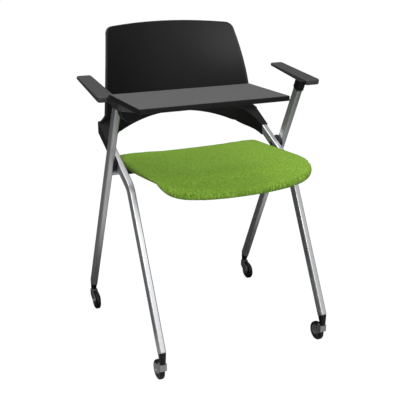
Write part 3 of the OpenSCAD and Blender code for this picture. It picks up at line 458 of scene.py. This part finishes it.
def side_width(z):
    """half the shell's width: a parabola through three widths, eased into the ears below"""
    if z <= EAR_HIGH:
        return EAR_X
    if z < LOW_Z:
        t = (z - EAR_HIGH) / (LOW_Z - EAR_HIGH)
        t = t * t * (3 - 2 * t)
        return EAR_X + (LOW_HALF - EAR_X) * t
    return (
        TOP_HALF * (z - MID_Z) * (z - LOW_Z) / ((CORNER_Z - MID_Z) * (CORNER_Z - LOW_Z))
        + MID_HALF * (z - CORNER_Z) * (z - LOW_Z) / ((MID_Z - CORNER_Z) * (MID_Z - LOW_Z))
        + LOW_HALF * (z - CORNER_Z) * (z - MID_Z) / ((LOW_Z - CORNER_Z) * (LOW_Z - MID_Z))
    )


def arch_low(x):
    """the shell's lower edge: the arch, then a straight run to the ear"""
    def arc(v):
        return ARCH_Z - ARCH_R + math.sqrt(ARCH_R ** 2 - v * v)
    if x < GUSSET_X:
        return arc(x)
    return arc(GUSSET_X) + (EAR_LOW - arc(GUSSET_X)) * (x - GUSSET_X) / (EAR_X - GUSSET_X)


def shell_column(u, rows=34, corner=10):
    low = arch_low(abs(u) * EAR_X)
    high = TOP_Z - CROWN_R + math.sqrt(CROWN_R ** 2 - (u * CROWN_X) ** 2)
    heights = [low + (CORNER_Z - low) * k / rows for k in range(rows + 1)]
    pts = [(u * side_width(z), z) for z in heights]
    for k in range(1, corner + 1):
        a = (math.pi / 2 - CROWN_TURN) * k / corner
        pts.append((
            u * (CORNER_X + CORNER_R * math.cos(a)),
            CORNER_Z + (high - CORNER_Z) * math.sin(a) / math.cos(CROWN_TURN),
        ))
    return pts


def back_shell():
    """front and rear face from one grid, joined by a rounded rim; the rim and the front face's side
    and top strips are a lighter black, a painted highlight
    """
    grid = np.array([shell_column(i / HALF_COLS) for i in range(-HALF_COLS, HALF_COLS + 1)])
    nc, nr = grid.shape[:2]                        # the grid is columns, rows, (x, z)
    rim = [(i, 0) for i in range(nc)] + [(nc - 1, k) for k in range(1, nr)]
    rim += [(i, nr - 1) for i in range(nc - 2, -1, -1)] + [(0, k) for k in range(nr - 2, 0, -1)]
    pts = np.array([grid[i, k] for i, k in rim])
    inward = inward_of(pts)
    inner = grid.copy()
    for (i, k), n in zip(rim, inward):
        inner[i, k] = grid[i, k] + n * RIM_R
    verts, faces, lip = [], [], []

    def put(p, depth):
        """depth 0 is the front face, 1 the rear face"""
        verts.append((p[0], shell_y(p[0], p[1], LEAN_R - BACK_T * depth), p[1]))

    for depth in (0, 1):
        for i in range(nc):
            for k in range(nr):
                put(inner[i, k], depth)
    total = nc * nr
    for i in range(nc - 1):
        for k in range(nr - 1):
            a = i * nr + k
            # the front face's outermost columns and top rows take the lighter colour: painted
            # highlight
            if i in (0, nc - 2) or k >= nr - 1 - HIGHLIGHT_ROWS:
                lip.append(len(faces))
            faces.append((a, a + 1, a + 1 + nr, a + nr)[::-1])
            faces.append(tuple(total + v for v in (a, a + 1, a + 1 + nr, a + nr)))
    rings = [[i * nr + k for i, k in rim]]
    for s in range(1, RIM_STEPS):
        t = math.pi * s / RIM_STEPS
        rings.append(list(range(len(verts), len(verts) + len(rim))))
        for p, n in zip(pts, inward):
            put(p + n * RIM_R * (1 - math.sin(t)), (1 - math.cos(t)) / 2)
    rings.append([total + i * nr + k for i, k in rim])
    for a, b in zip(rings, rings[1:]):
        for q in range(len(rim)):
            w = (q + 1) % len(rim)
            lip.append(len(faces))
            faces.append((a[q], a[w], b[w], b[q]))
    o = mesh_object("back_shell", verts, faces, MAT["back"])
    # the second slot holds the rim's painted highlight
    o.data.materials.append(MAT["rim"])
    for k in lip:
        o.data.polygons[k].material_index = HIGHLIGHT_SLOT
    face_outward(o)
    return o


def sleeve_plan(in_x, out_x, steps=16):
    """gusset and sleeve seen from above, counted from the arch along the curved front"""
    a = Vector((GUSSET_X, shell_y(GUSSET_X, EAR_HIGH, LEAN_R - BACK_T / 2)))
    b = Vector((in_x, SLEEVE_FRONT))
    chord = b - a
    off = math.sqrt(GUSSET_R ** 2 - (chord.length / 2) ** 2)
    centre = (a + b) / 2 + Vector((chord.y, -chord.x)) / chord.length * off
    a0, a1 = math.atan2(a.y - centre.y, a.x - centre.x), math.atan2(b.y - centre.y, b.x - centre.x)
    if a1 > a0:
        a1 -= 2 * math.pi
    plan = []
    for k in range(steps + 1):
        t = a0 + (a1 - a0) * k / steps
        plan.append((centre.x + GUSSET_R * math.cos(t), centre.y + GUSSET_R * math.sin(t)))
    meet = shell_y(in_x, EAR_HIGH, LEAN_R - BACK_T / 2)
    plan += [(out_x, SLEEVE_FRONT), (out_x, SLEEVE_REAR)]
    plan += [(in_x + SLEEVE_WALL, SLEEVE_REAR), (in_x, meet)]
    return plan


def sleeve_piece(word, side):
    """gusset and sleeve as one wedge, with a pocket to the front where the tube goes in"""
    in_x, out_x = INNER_X - SLEEVE_W / 2, INNER_X + SLEEVE_W / 2
    plan = sleeve_plan(in_x, out_x)
    n = len(plan)
    top_front = tube_line(SLEEVE_FRONT) + SLEEVE_RISE
    rear_flat = SLEEVE_REAR - SLEEVE_WALL * 2
    lows, highs = [], []
    for x, y in plan:
        across = min(max(in_x - x, 0.0) / (in_x - GUSSET_X), 1.0)
        drop = GUSSET_SLOPE * across * (in_x - GUSSET_X) + GUSSET_BELLY * across * (1 - across)
        lows.append((side * x, y, tube_line(y) - SLEEVE_RISE - drop))
        back = clamp((y - SLEEVE_FRONT) / (rear_flat - SLEEVE_FRONT))
        highs.append((side * x, y, top_front + (SLEEVE_TOP - top_front) * back))
    bm = bmesh.new()
    vs = [bm.verts.new(v) for v in lows + highs]
    for i in range(n):
        j = (i + 1) % n
        bm.faces.new([vs[k] for k in (i, j, n + j, n + i)])
    ends = [bm.faces.new(vs[:n]), bm.faces.new(vs[n:])]
    bmesh.ops.triangulate(bm, faces=ends)
    bmesh.ops.recalc_face_normals(bm, faces=bm.faces)
    me = bpy.data.meshes.new("sleeve")
    bm.to_mesh(me)
    bm.free()
    me.materials.append(MAT["back"])
    o = add_object("back_sleeve_" + word, me)
    # the pocket for the tube, cut as a real opening
    sec = section(*TUBE_POCKET)
    ends = [(y, tube_line(y), INNER_RISE) for y in (SLEEVE_FRONT - 0.02, INNER_END_Y)]
    pocket = [v for p in ends for v in ring_at(side * INNER_X, p, sec)]
    cutter = mesh_object("cutter", pocket, ring_faces(2, len(sec)), MAT["back"], smooth=False)
    face_outward(cutter)
    cut = o.modifiers.new("pocket", "BOOLEAN")
    cut.object = cutter
    cut.operation = "DIFFERENCE"
    cut.solver = "EXACT"
    apply_all(o)
    bpy.data.objects.remove(cutter)
    shade_smooth(o.data)
    add_bevel(o, 0.0010, 3, 28)
    return o


finish_piece(back_shell(), "frame", ["backrest_shell"])
for word, side in SIDES:
    finish_piece(sleeve_piece(word, side), "frame", [])


# ---------------------------------------------------------------- seat cushion

SEAT_HALF, SEAT_REAR, SEAT_DEPTH = 0.2195, -0.056, 0.368
# the right half of the outline, from the rear middle to the front middle: half widths, depths
PLAN_SHARES = [
    (0, 0), (0.3, 0), (0.6, 0.001), (0.8, 0.002), (0.912, 0.006), (0.962, 0.026), (0.978, 0.068),
    (0.980, 0.125), (0.978, 0.235), (0.983, 0.38), (0.993, 0.52), (1, 0.64), (0.992, 0.73),
    (0.972, 0.795), (0.945, 0.845), (0.9, 0.885), (0.82, 0.92), (0.68, 0.951), (0.47, 0.979),
    (0.24, 0.995), (0, 1),
]
# rings from the underside round the edge to the top: shares of the outline and of the height
RING_SHARES = [
    (0.83, 0), (0.93, 0), (0.972, 0.05), (0.991, 0.2), (1, 0.45), (0.996, 0.68), (0.981, 0.86),
    (0.955, 0.96), (0.91, 1), (0.75, 1), (0.5, 1), (0.25, 1),
]
RING_LIFT, EDGE_RINGS = 0.012, 0.9
RECESS_Z, RECESS_SHARE = 0.4698, 0.815             # the flat recess over the pan
# heights of the top and of the underside, and where along the depth they change
TOP_Z0, TOP_RISE, TOP_DISH, NOSE_FALL = 0.4875, 0.0065, 0.005, 0.025
RISE_SPAN, NOSE_FROM, NOSE_SPAN = 0.62, 0.68, 0.32
LOW_Z0, LOW_FALL, LIP_FALL, WING_LIFT = 0.4664, 0.010, 0.0125, 0.032
LIP_FROM, LIP_SPAN, WING_FROM, WING_SPAN = 0.79, 0.21, 0.33, 0.49
SWELL, SWELL_CAP, SWELL_PASSES = 0.0014, 0.0060, 8  # how far the pad starts short, and swells at most
VOXEL, VOXEL_PULLS = 0.0040, (0.5, -0.52) * 4
HELD_SHARE = 0.3                                   # lowest part of the height, which the pan holds
CLOTH_FRAMES, CLOTH_MASS, CLOTH_STIFF, CLOTH_BEND, CLOTH_PRESSURE = 20, 0.25, 18, 1.2, 4.0


def fine_plan(per=3):
    """the seat's closed outline as shares, with extra points on a smooth curve"""
    full = PLAN_SHARES + [(-x, y) for x, y in PLAN_SHARES[-2:0:-1]]
    out = []
    n = len(full)
    for i in range(n):
        p0, p1, p2, p3 = (Vector(full[(i + k - 1) % n]) for k in range(4))
        for s in range(per):
            t = s / per
            q = 0.5 * (
                (2 * p1) + (p2 - p0) * t + (2 * p0 - 5 * p1 + 4 * p2 - p3) * t * t
                + (3 * p1 - p0 - 3 * p2 + p3) * t ** 3
            )
            out.append((q.x, q.y))
    return out


def seat_point(p, s):
    """a point of the outline, drawn in to the share s about the seat's middle"""
    mid = SEAT_REAR - SEAT_DEPTH / 2
    return s * p[0] * SEAT_HALF, mid + s * (SEAT_REAR - p[1] * SEAT_DEPTH - mid)


def cushion_heights(x, y):
    """underside and top of the cushion: a dished top, a nose that falls and wings that lift"""
    along = clamp((SEAT_REAR - y) / SEAT_DEPTH)
    across = min(abs(x) / SEAT_HALF, 1)
    lip = max(along - LIP_FROM, 0) / LIP_SPAN
    wing = clamp((along - WING_FROM) / WING_SPAN)
    top = (
        TOP_Z0 + TOP_RISE * math.sin(math.pi / 2 * min(along / RISE_SPAN, 1))
        - TOP_DISH * (1 - across ** 2) - NOSE_FALL * (max(along - NOSE_FROM, 0) / NOSE_SPAN) ** 2
    )
    low = (
        LOW_Z0 - LOW_FALL * along ** 1.5 - LIP_FALL * math.sqrt(lip)
        + WING_LIFT * across ** 6 * wing * (1 - lip)
    )
    return low, top


def cushion_mesh(inset, name):
    plan = fine_plan()
    n = len(plan)
    scale = 1 - inset / SEAT_HALF
    verts = []
    for p in plan:
        x, y = seat_point(p, RECESS_SHARE)
        verts.append((x, y + SHIFT, RECESS_Z))
    rings = []
    for (s0, h0), (s1, h1) in zip(RING_SHARES, RING_SHARES[1:]):
        lift = RING_LIFT if 0 < h0 < 1 else 0
        rings += [(s0, h0), ((s0 + s1) / 2, (h0 + h1) / 2 + lift)]
    rings.append(RING_SHARES[-1])
    for s, h in rings:
        for p in plan:
            x, y = seat_point(p, s * (scale if s > EDGE_RINGS else 1))
            low, top = cushion_heights(x, y)
            low, top = low + inset * 0.3, top - inset
            verts.append((x, y + SHIFT, low + min(h, 1) * (top - low)))
    rows = len(rings) + 1
    mid_y = SEAT_REAR - SEAT_DEPTH / 2
    verts.append((0, mid_y + SHIFT, RECESS_Z))
    verts.append((0, mid_y + SHIFT, cushion_heights(0, mid_y)[1] - inset))
    faces = []
    for k in range(rows - 1):
        for i in range(n):
            j = (i + 1) % n
            faces.append((k * n + i, k * n + j, (k + 1) * n + j, (k + 1) * n + i))
    for i in range(n):
        j = (i + 1) % n
        faces.append((rows * n, j, i))
        faces.append((rows * n + 1, (rows - 1) * n + i, (rows - 1) * n + j))
    o = mesh_object(name, verts, faces, MAT["fabric"])
    face_outward(o)
    return o


def read_points(me, what="co"):
    values = np.empty(len(me.vertices) * 3, np.float32)
    me.vertices.foreach_get(what, values)
    return values.reshape(-1, 3)


def write_points(me, points):
    me.vertices.foreach_set("co", points.astype(np.float32).ravel())


def neighbour_mean(values, edges):
    total, count = np.zeros_like(values), np.zeros(len(values))
    for a, b in ((0, 1), (1, 0)):
        np.add.at(total, edges[:, a], values[edges[:, b]])
        np.add.at(count, edges[:, a], 1)
    return total / np.maximum(count, 1)[:, None]


def inflate(o, held):
    """runs the pad as cloth under pressure, with the held points fixed"""
    hold = o.vertex_groups.new(name="hold")
    hold.add(held, 1.0, "REPLACE")
    c = o.modifiers.new("cloth", "CLOTH")
    s = c.settings
    s.quality = 6
    s.mass = CLOTH_MASS
    s.tension_stiffness = s.compression_stiffness = CLOTH_STIFF
    s.bending_stiffness = CLOTH_BEND
    s.use_pressure = True
    s.uniform_pressure_force = CLOTH_PRESSURE
    s.vertex_group_mass = "hold"
    s.effector_weights.gravity = 0.0
    c.point_cache.frame_start, c.point_cache.frame_end = 1, CLOTH_FRAMES
    scene = bpy.context.scene
    for f in range(1, CLOTH_FRAMES + 1):
        scene.frame_set(f)
    apply_all(o)
    scene.frame_set(1)


def seat_cushion():
    o = cushion_mesh(SWELL, "seat_pad")
    r = o.modifiers.new("remesh", "REMESH")
    r.mode = "VOXEL"
    r.voxel_size = VOXEL
    apply_all(o)
    me = o.data
    edges = np.empty(len(me.edges) * 2, np.int32)
    me.edges.foreach_get("vertices", edges)
    edges = edges.reshape(-1, 2)
    start = read_points(me).astype(float)
    # takes the voxel steps out without shrinking the form
    for pull in VOXEL_PULLS:
        start += pull * (neighbour_mean(start, edges) - start)
    write_points(me, start)
    me.update()
    out_dir = read_points(me, "normal")
    # the foot of the foam is glued to its pan, so the underside stays
    under = []
    for i, (x, y, z) in enumerate(start):
        low, top = cushion_heights(x, y - SHIFT)
        if z < low + HELD_SHARE * (top - low):
            under.append(i)
    inflate(o, under)
    # only the swelling along the surface's own direction is kept, evened out and capped
    swell = ((read_points(o.data) - start) * out_dir).sum(1)
    swell = np.clip(swell, 0.0, SWELL_CAP)[:, None]
    swell[under] = 0
    for _ in range(SWELL_PASSES):
        swell += 0.5 * (neighbour_mean(swell, edges) - swell)
    write_points(o.data, start + out_dir * swell)
    sub = o.modifiers.new("sub", "SUBSURF")
    sub.levels = sub.render_levels = 1
    apply_all(o)
    o.data.materials.clear()
    o.data.materials.append(MAT["fabric"])
    shade_smooth(o.data)
    return o


pad = finish_piece(seat_cushion(), "seat", ["seat_cushion"])
refined("seat_pan", "seat", MAT["black"], 0.0008, 40)


# ---------------------------------------------------------------- arm pads and tablet

def soft_slab(name, outline, z0, z1, edge, steps, mat, tilt=None, depth_at=lambda y: 1):
    """a slab with a quarter-round edge above and below; outline is a closed list of (x, y)"""
    pts = np.array(outline)
    inward = inward_of(pts)
    turns = [math.pi / 2 * s / steps for s in range(steps + 1)]
    rings = [(edge * (1 - math.sin(a)), z0 + edge * (1 - math.cos(a))) for a in turns]
    rings += [(edge * (1 - math.cos(a)), z1 - edge * (1 - math.sin(a))) for a in turns]
    verts = []
    for off, z in rings:
        verts.extend((x, y, z * depth_at(y)) for x, y in pts + inward * off)
    o = mesh_object(name, verts, ring_faces(len(rings), len(pts)), mat)
    face_outward(o, tilt)
    weigh_normals(o, 90)
    return o


def rounded_outline(corners, radius, steps=8):
    """a convex polygon, counter-clockwise, with each corner rounded"""
    out = []
    n = len(corners)
    for i in range(n):
        p, a, b = Vector(corners[i]), Vector(corners[i - 1]), Vector(corners[(i + 1) % n])
        da, db = (a - p).normalized(), (b - p).normalized()
        half = da.angle(db) / 2
        back = radius / math.tan(half)
        centre = p + (da + db).normalized() * (radius / math.sin(half))
        s, e = p + da * back - centre, p + db * back - centre
        a0 = math.atan2(s.y, s.x)
        turn = (math.atan2(e.y, e.x) - a0) % (2 * math.pi)
        for k in range(steps + 1):
            t = a0 + turn * k / steps
            out.append((centre.x + radius * math.cos(t), centre.y + radius * math.sin(t)))
    return out


PAD_IN_X, PAD_OUT_X, PAD_TAPER, PAD_LENGTH, PAD_T = 0.2634, 0.3065, 0.0045, 0.192, 0.015
PAD_FRONT_Y, PAD_TOP_Z, PAD_RISE = -0.2385 + SHIFT, 0.675, math.radians(6.8)
PAD_CORNER_R, PAD_EDGE_R = 0.008, 0.0042
THIN_FROM, THIN_SPAN, THIN_BY = 0.30, 0.70, 0.45


def pad_depth(y):
    """the underside rises to a thin rear end, behind the collar"""
    return 1 - THIN_BY * clamp((y / PAD_LENGTH - THIN_FROM) / THIN_SPAN)


def arm_pad(word, side):
    w = PAD_OUT_X - PAD_IN_X
    corners = [(0, 0), (w, 0), (w - PAD_TAPER, PAD_LENGTH), (0, PAD_LENGTH)]
    place = Matrix.Translation((PAD_IN_X, PAD_FRONT_Y, PAD_TOP_Z)) @ Matrix.Rotation(PAD_RISE, 4, "X")
    o = soft_slab(
        "arm_pad_soft_" + word, rounded_outline(corners, PAD_CORNER_R), -PAD_T, 0.0,
        PAD_EDGE_R, 5, MAT["pad"], place, pad_depth,
    )
    if side < 0:
        o.data.transform(Matrix.Scale(-1, 4, (1, 0, 0)))
        o.data.flip_normals()
    return o


for word, side in SIDES:
    finish_piece(arm_pad(word, side), "frame", ["arm_pad_" + word])

TX0, TX1 = -0.3065, 0.046
TY0, TY1 = DESIGN_TABLET_Y + SHIFT, -0.321 + SHIFT
TZ0, TZ1 = 0.684, 0.695
BOARD_IN, BOARD_R, BOARD_EDGE_R, BOARD_LIFT = 0.0018, 0.0017, 0.0004, 0.0001
BAND_R, BAND_IN, BAND_IN_R, BAND_EDGE_R = 0.0035, 0.0019, 0.0016, 0.0014


def tablet_outline(inset, radius):
    x0, x1, y0, y1 = TX0 + inset, TX1 - inset, TY0 + inset, TY1 - inset
    return rounded_outline([(x0, y0), (x1, y0), (x1, y1), (x0, y1)], radius, 10)


def edge_band(steps=4):
    """the black edge strip with round corners, as a ring round the board"""
    outer, inner = tablet_outline(0.0, BAND_R), tablet_outline(BAND_IN, BAND_IN_R)
    n = len(outer)
    pts = np.array(outer)
    inward = inward_of(pts)
    turns = [math.pi / 2 * s / steps for s in range(steps + 1)]
    rings = [[(x, y, TZ0) for x, y in inner]]
    for a in turns:
        z = TZ0 + BAND_EDGE_R * (1 - math.cos(a))
        rings.append([(x, y, z) for x, y in pts + inward * BAND_EDGE_R * (1 - math.sin(a))])
    for a in turns:
        z = TZ1 - BAND_EDGE_R * (1 - math.sin(a))
        rings.append([(x, y, z) for x, y in pts + inward * BAND_EDGE_R * (1 - math.cos(a))])
    rings.append([(x, y, TZ1) for x, y in inner])
    verts = [v for ring in rings for v in ring]
    faces = []
    for k in range(len(rings)):
        a, b = k * n, ((k + 1) % len(rings)) * n
        faces.extend((a + i, a + (i + 1) % n, b + (i + 1) % n, b + i) for i in range(n))
    o = mesh_object("tablet_edge", verts, faces, MAT["black"])
    face_outward(o)
    weigh_normals(o, 90)
    return o


def rotor_highlight_ring(steps=40, sides=10):
    """a painted highlight: a lighter bead on the turning disc's edge, an arc that ends under the
    bracket
    """
    low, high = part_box("fold_rotor")
    r = (high.x - low.x) / 2
    cx, cz = (low.x + high.x) / 2, low.z + r
    bead_r, set_in, end_gap = 0.0011, 0.0008, 0.003
    top = math.asin(min(max((high.z - end_gap - cz) / r, -1), 1))
    verts = []
    for k in range(steps + 1):
        a = top - (math.pi + 2 * top) * k / steps
        for q in range(sides):
            b = 2 * math.pi * q / sides
            d = r - set_in + bead_r * math.cos(b)
            y = low.y + bead_r * 0.4 + bead_r * math.sin(b)
            verts.append((cx + d * math.cos(a), y, cz + d * math.sin(a)))
    o = mesh_object("rotor_highlight_ring", verts, ring_faces(steps + 1, sides), MAT["pad"])
    face_outward(o)
    return o


board = soft_slab(
    "tablet_top", tablet_outline(BOARD_IN, BOARD_R), TZ0 + BOARD_LIFT, TZ1,
    BOARD_EDGE_R, 2, MAT["tablet"],
)
finish_piece(board, "tablet", ["tablet_board"])
finish_piece(edge_band(), "tablet", ["tablet_band"])
refined("tablet_bracket", "tablet", MAT["bracket"], 0.0010, 32, 3)
refined("fold_rotor", "tablet", MAT["black"], 0.0010, 40, 3)
refined("rotor_cap", "tablet", MAT["black"], 0.0008, 40)
refined("tablet_arm", "frame", MAT["dark"], 0.0010, 40)
refined("seat_rests", "frame", MAT["dark"], 0.0006)
# the disc edge's highlight, painted as a lighter bead
finish_piece(rotor_highlight_ring(), "tablet", [])


# ---------------------------------------------------------------- castors and hardware

for c in CORNERS:
    refined("leg_plug_" + c, "frame", MAT["black"], 0.0004, 45)
    refined("fork_" + c, "castor_" + c, MAT["fork"], 0.0004, 35)
    refined("hub_" + c, "wheel_" + c, MAT["hub"], 0.0004, 40)
    refined("tyre_" + c, "wheel_" + c, MAT["tyre"], 0.0003, 50)

# CAD nodes that stay as they are and only get a material
KEPT = {
    "crossing_bolts": "screw", "cross_tube": "bar", "back_screws": "screw", "pad_screws": "screw",
    "tablet_screws": "screw", "seat_screws": "screw", "fold_pin": "steel",
    **{"axle_" + c: "steel" for c in CORNERS},
}
for name, key in KEPT.items():
    me = NODES[name].data
    me.materials.clear()
    me.materials.append(MAT[key])


# ---------------------------------------------------------------- stage

FLOOR_SIZE, FLOOR_Z = 60.0, -0.0002
# what reflections see of the floor, each as a remap: from, to, value at from, value at to
NEAR_LIGHT = (0.34, 0.80, 0.80, 0.0)               # by distance: a light pool round the chair
POOL_LEFT, POOL_REAR = (-0.30, -0.22, 0.0, 1.0), (0.04, 0.14, 1.0, 0.0)      # its edges, by x and y
GAP_LEFT, GAP_RIGHT = (0.0, 0.05, 0.0, 1.0), (0.18, 0.24, 1.0, 0.0)          # a dark gap in it, by x
GAP_FRONT = (-0.42, -0.34, 0.0, 1.0)                                         # and by y
FAR_LEFT = (-0.44, -0.34, 0.13, 0.0)               # by x
FLOOR_FRONT = (-1.05, -0.78, 0.34, 0.03)           # by direction: lighter in front
FLOOR_WHITE, GLOW, GLOW_SHARE = (0.82, 0.82, 0.82), 1.07, 0.90               # what the camera sees


def floor_material():
    """white to the camera, with the chair's faint shadow; darker and patterned to reflections"""
    m = bpy.data.materials.new("pale_floor")
    m.use_nodes = True
    nt = m.node_tree
    nt.nodes.clear()
    out = nt.nodes.new("ShaderNodeOutputMaterial")
    place = node(nt, "ShaderNodeSeparateXYZ", {0: coords(nt)}).outputs
    x, y = place["X"], place["Y"]
    reach = node(nt, "ShaderNodeVectorMath", {0: coords(nt)}, operation="LENGTH").outputs["Value"]
    gap = maths(nt, "MULTIPLY", remap(nt, x, *GAP_LEFT), remap(nt, x, *GAP_RIGHT))
    gap = maths(nt, "MULTIPLY", gap, remap(nt, y, *GAP_FRONT))
    pool = maths(nt, "MULTIPLY", remap(nt, reach, *NEAR_LIGHT), remap(nt, x, *POOL_LEFT))
    pool = maths(nt, "MULTIPLY", pool, remap(nt, gap, 0.0, 1.0, 1.0, 0.0))
    pool = maths(nt, "MULTIPLY", pool, remap(nt, y, *POOL_REAR))
    front = remap(nt, maths(nt, "ARCTAN2", y, x), *FLOOR_FRONT)
    shade = maths(nt, "MAXIMUM", pool, front)
    shade = maths(nt, "MAXIMUM", shade, remap(nt, x, *FAR_LEFT))
    grey = node(nt, "ShaderNodeCombineXYZ", {0: shade, 1: shade, 2: shade}).outputs[0]
    direct = node(nt, "ShaderNodeLightPath").outputs["Is Camera Ray"]
    diffuse = node(nt, "ShaderNodeBsdfDiffuse", {"Color": mix(nt, direct, grey, FLOOR_WHITE)})
    glow = node(nt, "ShaderNodeEmission", {"Color": (1, 1, 1, 1), "Strength": GLOW})
    mixer = node(nt, "ShaderNodeMixShader", {
        0: maths(nt, "MULTIPLY", direct, GLOW_SHARE), 1: diffuse.outputs[0], 2: glow.outputs[0],
    })
    nt.links.new(mixer.outputs[0], out.inputs["Surface"])
    return m


def stage_plane(name, size, z, mat):
    s = size / 2
    corners = [(-s, -s, z), (s, -s, z), (s, s, z), (-s, s, z)]
    o = mesh_object(name, corners, [(0, 1, 2, 3)], mat, smooth=False)


stage_plane("floor", FLOOR_SIZE, FLOOR_Z, floor_material())


# ---------------------------------------------------------------- world, lights, camera

WORLD_BASE, WORLD_WALL, WORLD_TOP = 0.06, 0.85, 0.55
WALL_RIGHT, WALL_LEFT = (-1.03, -0.80, 1.0, 0.0), (-2.30, -1.75, 0.0, 1.0)   # remaps by direction
CEILING = (0.30, 0.95, 0.0, 1.0)                                             # by height


def studio_world():
    """white to the camera; to reflections and as light a broad wall in front, from about 26 degrees
    left of it to 38 degrees right, a softer ceiling, and dark sides and rear"""
    world = bpy.data.worlds.new("studio")
    bpy.context.scene.world = world
    world.use_nodes = True
    nt = world.node_tree
    nt.nodes.clear()
    out = nt.nodes.new("ShaderNodeOutputWorld")
    direction = node(nt, "ShaderNodeTexCoord").outputs["Generated"]
    axes = node(nt, "ShaderNodeSeparateXYZ", {0: direction}).outputs
    turn = maths(nt, "ARCTAN2", axes["Y"], axes["X"])
    wall = maths(nt, "MULTIPLY", remap(nt, turn, *WALL_RIGHT), remap(nt, turn, *WALL_LEFT))
    level = maths(nt, "MULTIPLY_ADD", remap(nt, axes["Z"], *CEILING), WORLD_TOP, WORLD_BASE)
    level = maths(nt, "MULTIPLY_ADD", wall, WORLD_WALL, level)
    room = node(nt, "ShaderNodeBackground", {"Color": (1, 1, 1, 1), "Strength": level})
    white = node(nt, "ShaderNodeBackground", {"Color": (1, 1, 1, 1), "Strength": 1.0})
    mixer = node(nt, "ShaderNodeMixShader", {
        0: node(nt, "ShaderNodeLightPath").outputs["Is Camera Ray"],
        1: room.outputs[0], 2: white.outputs[0],
    })
    nt.links.new(mixer.outputs[0], out.inputs["Surface"])


def softbox(name, place, aim, size, power):
    d = bpy.data.lights.new(name, "AREA")
    d.shape = "RECTANGLE"
    d.size, d.size_y = size
    d.energy = power
    o = add_object(name, d)
    o.location = place
    o.rotation_euler = (Vector(aim) - Vector(place)).to_track_quat("-Z", "Y").to_euler()


studio_world()
softbox("key", (-0.6, -2.6, 2.6), (0, 0, 0.5), (2.4, 1.8), 52)
softbox("top", (-0.95, 0.3, 3.2), (0, 0, 0.4), (2.1, 2.6), 44)

# the photo's camera, as fitted to its straight edges
CAMERA_LENS, CAMERA_SENSOR, CAMERA_CLIP = 65.76, 36, (0.05, 100)
CAMERA_PLACE, CAMERA_DOWN, CAMERA_TURN = (-0.8086, -1.8512 + SHIFT, 0.9854), 18.51, -25.31

cam_data = bpy.data.cameras.new("camera")
cam_data.lens = CAMERA_LENS
cam_data.sensor_width = CAMERA_SENSOR
cam_data.clip_start, cam_data.clip_end = CAMERA_CLIP
cam = add_object("camera", cam_data)
cam.location = CAMERA_PLACE
cam.rotation_euler = (math.radians(90 - CAMERA_DOWN), 0, math.radians(CAMERA_TURN))
bpy.context.scene.camera = cam
bpy.context.scene.view_settings.view_transform = "Standard"
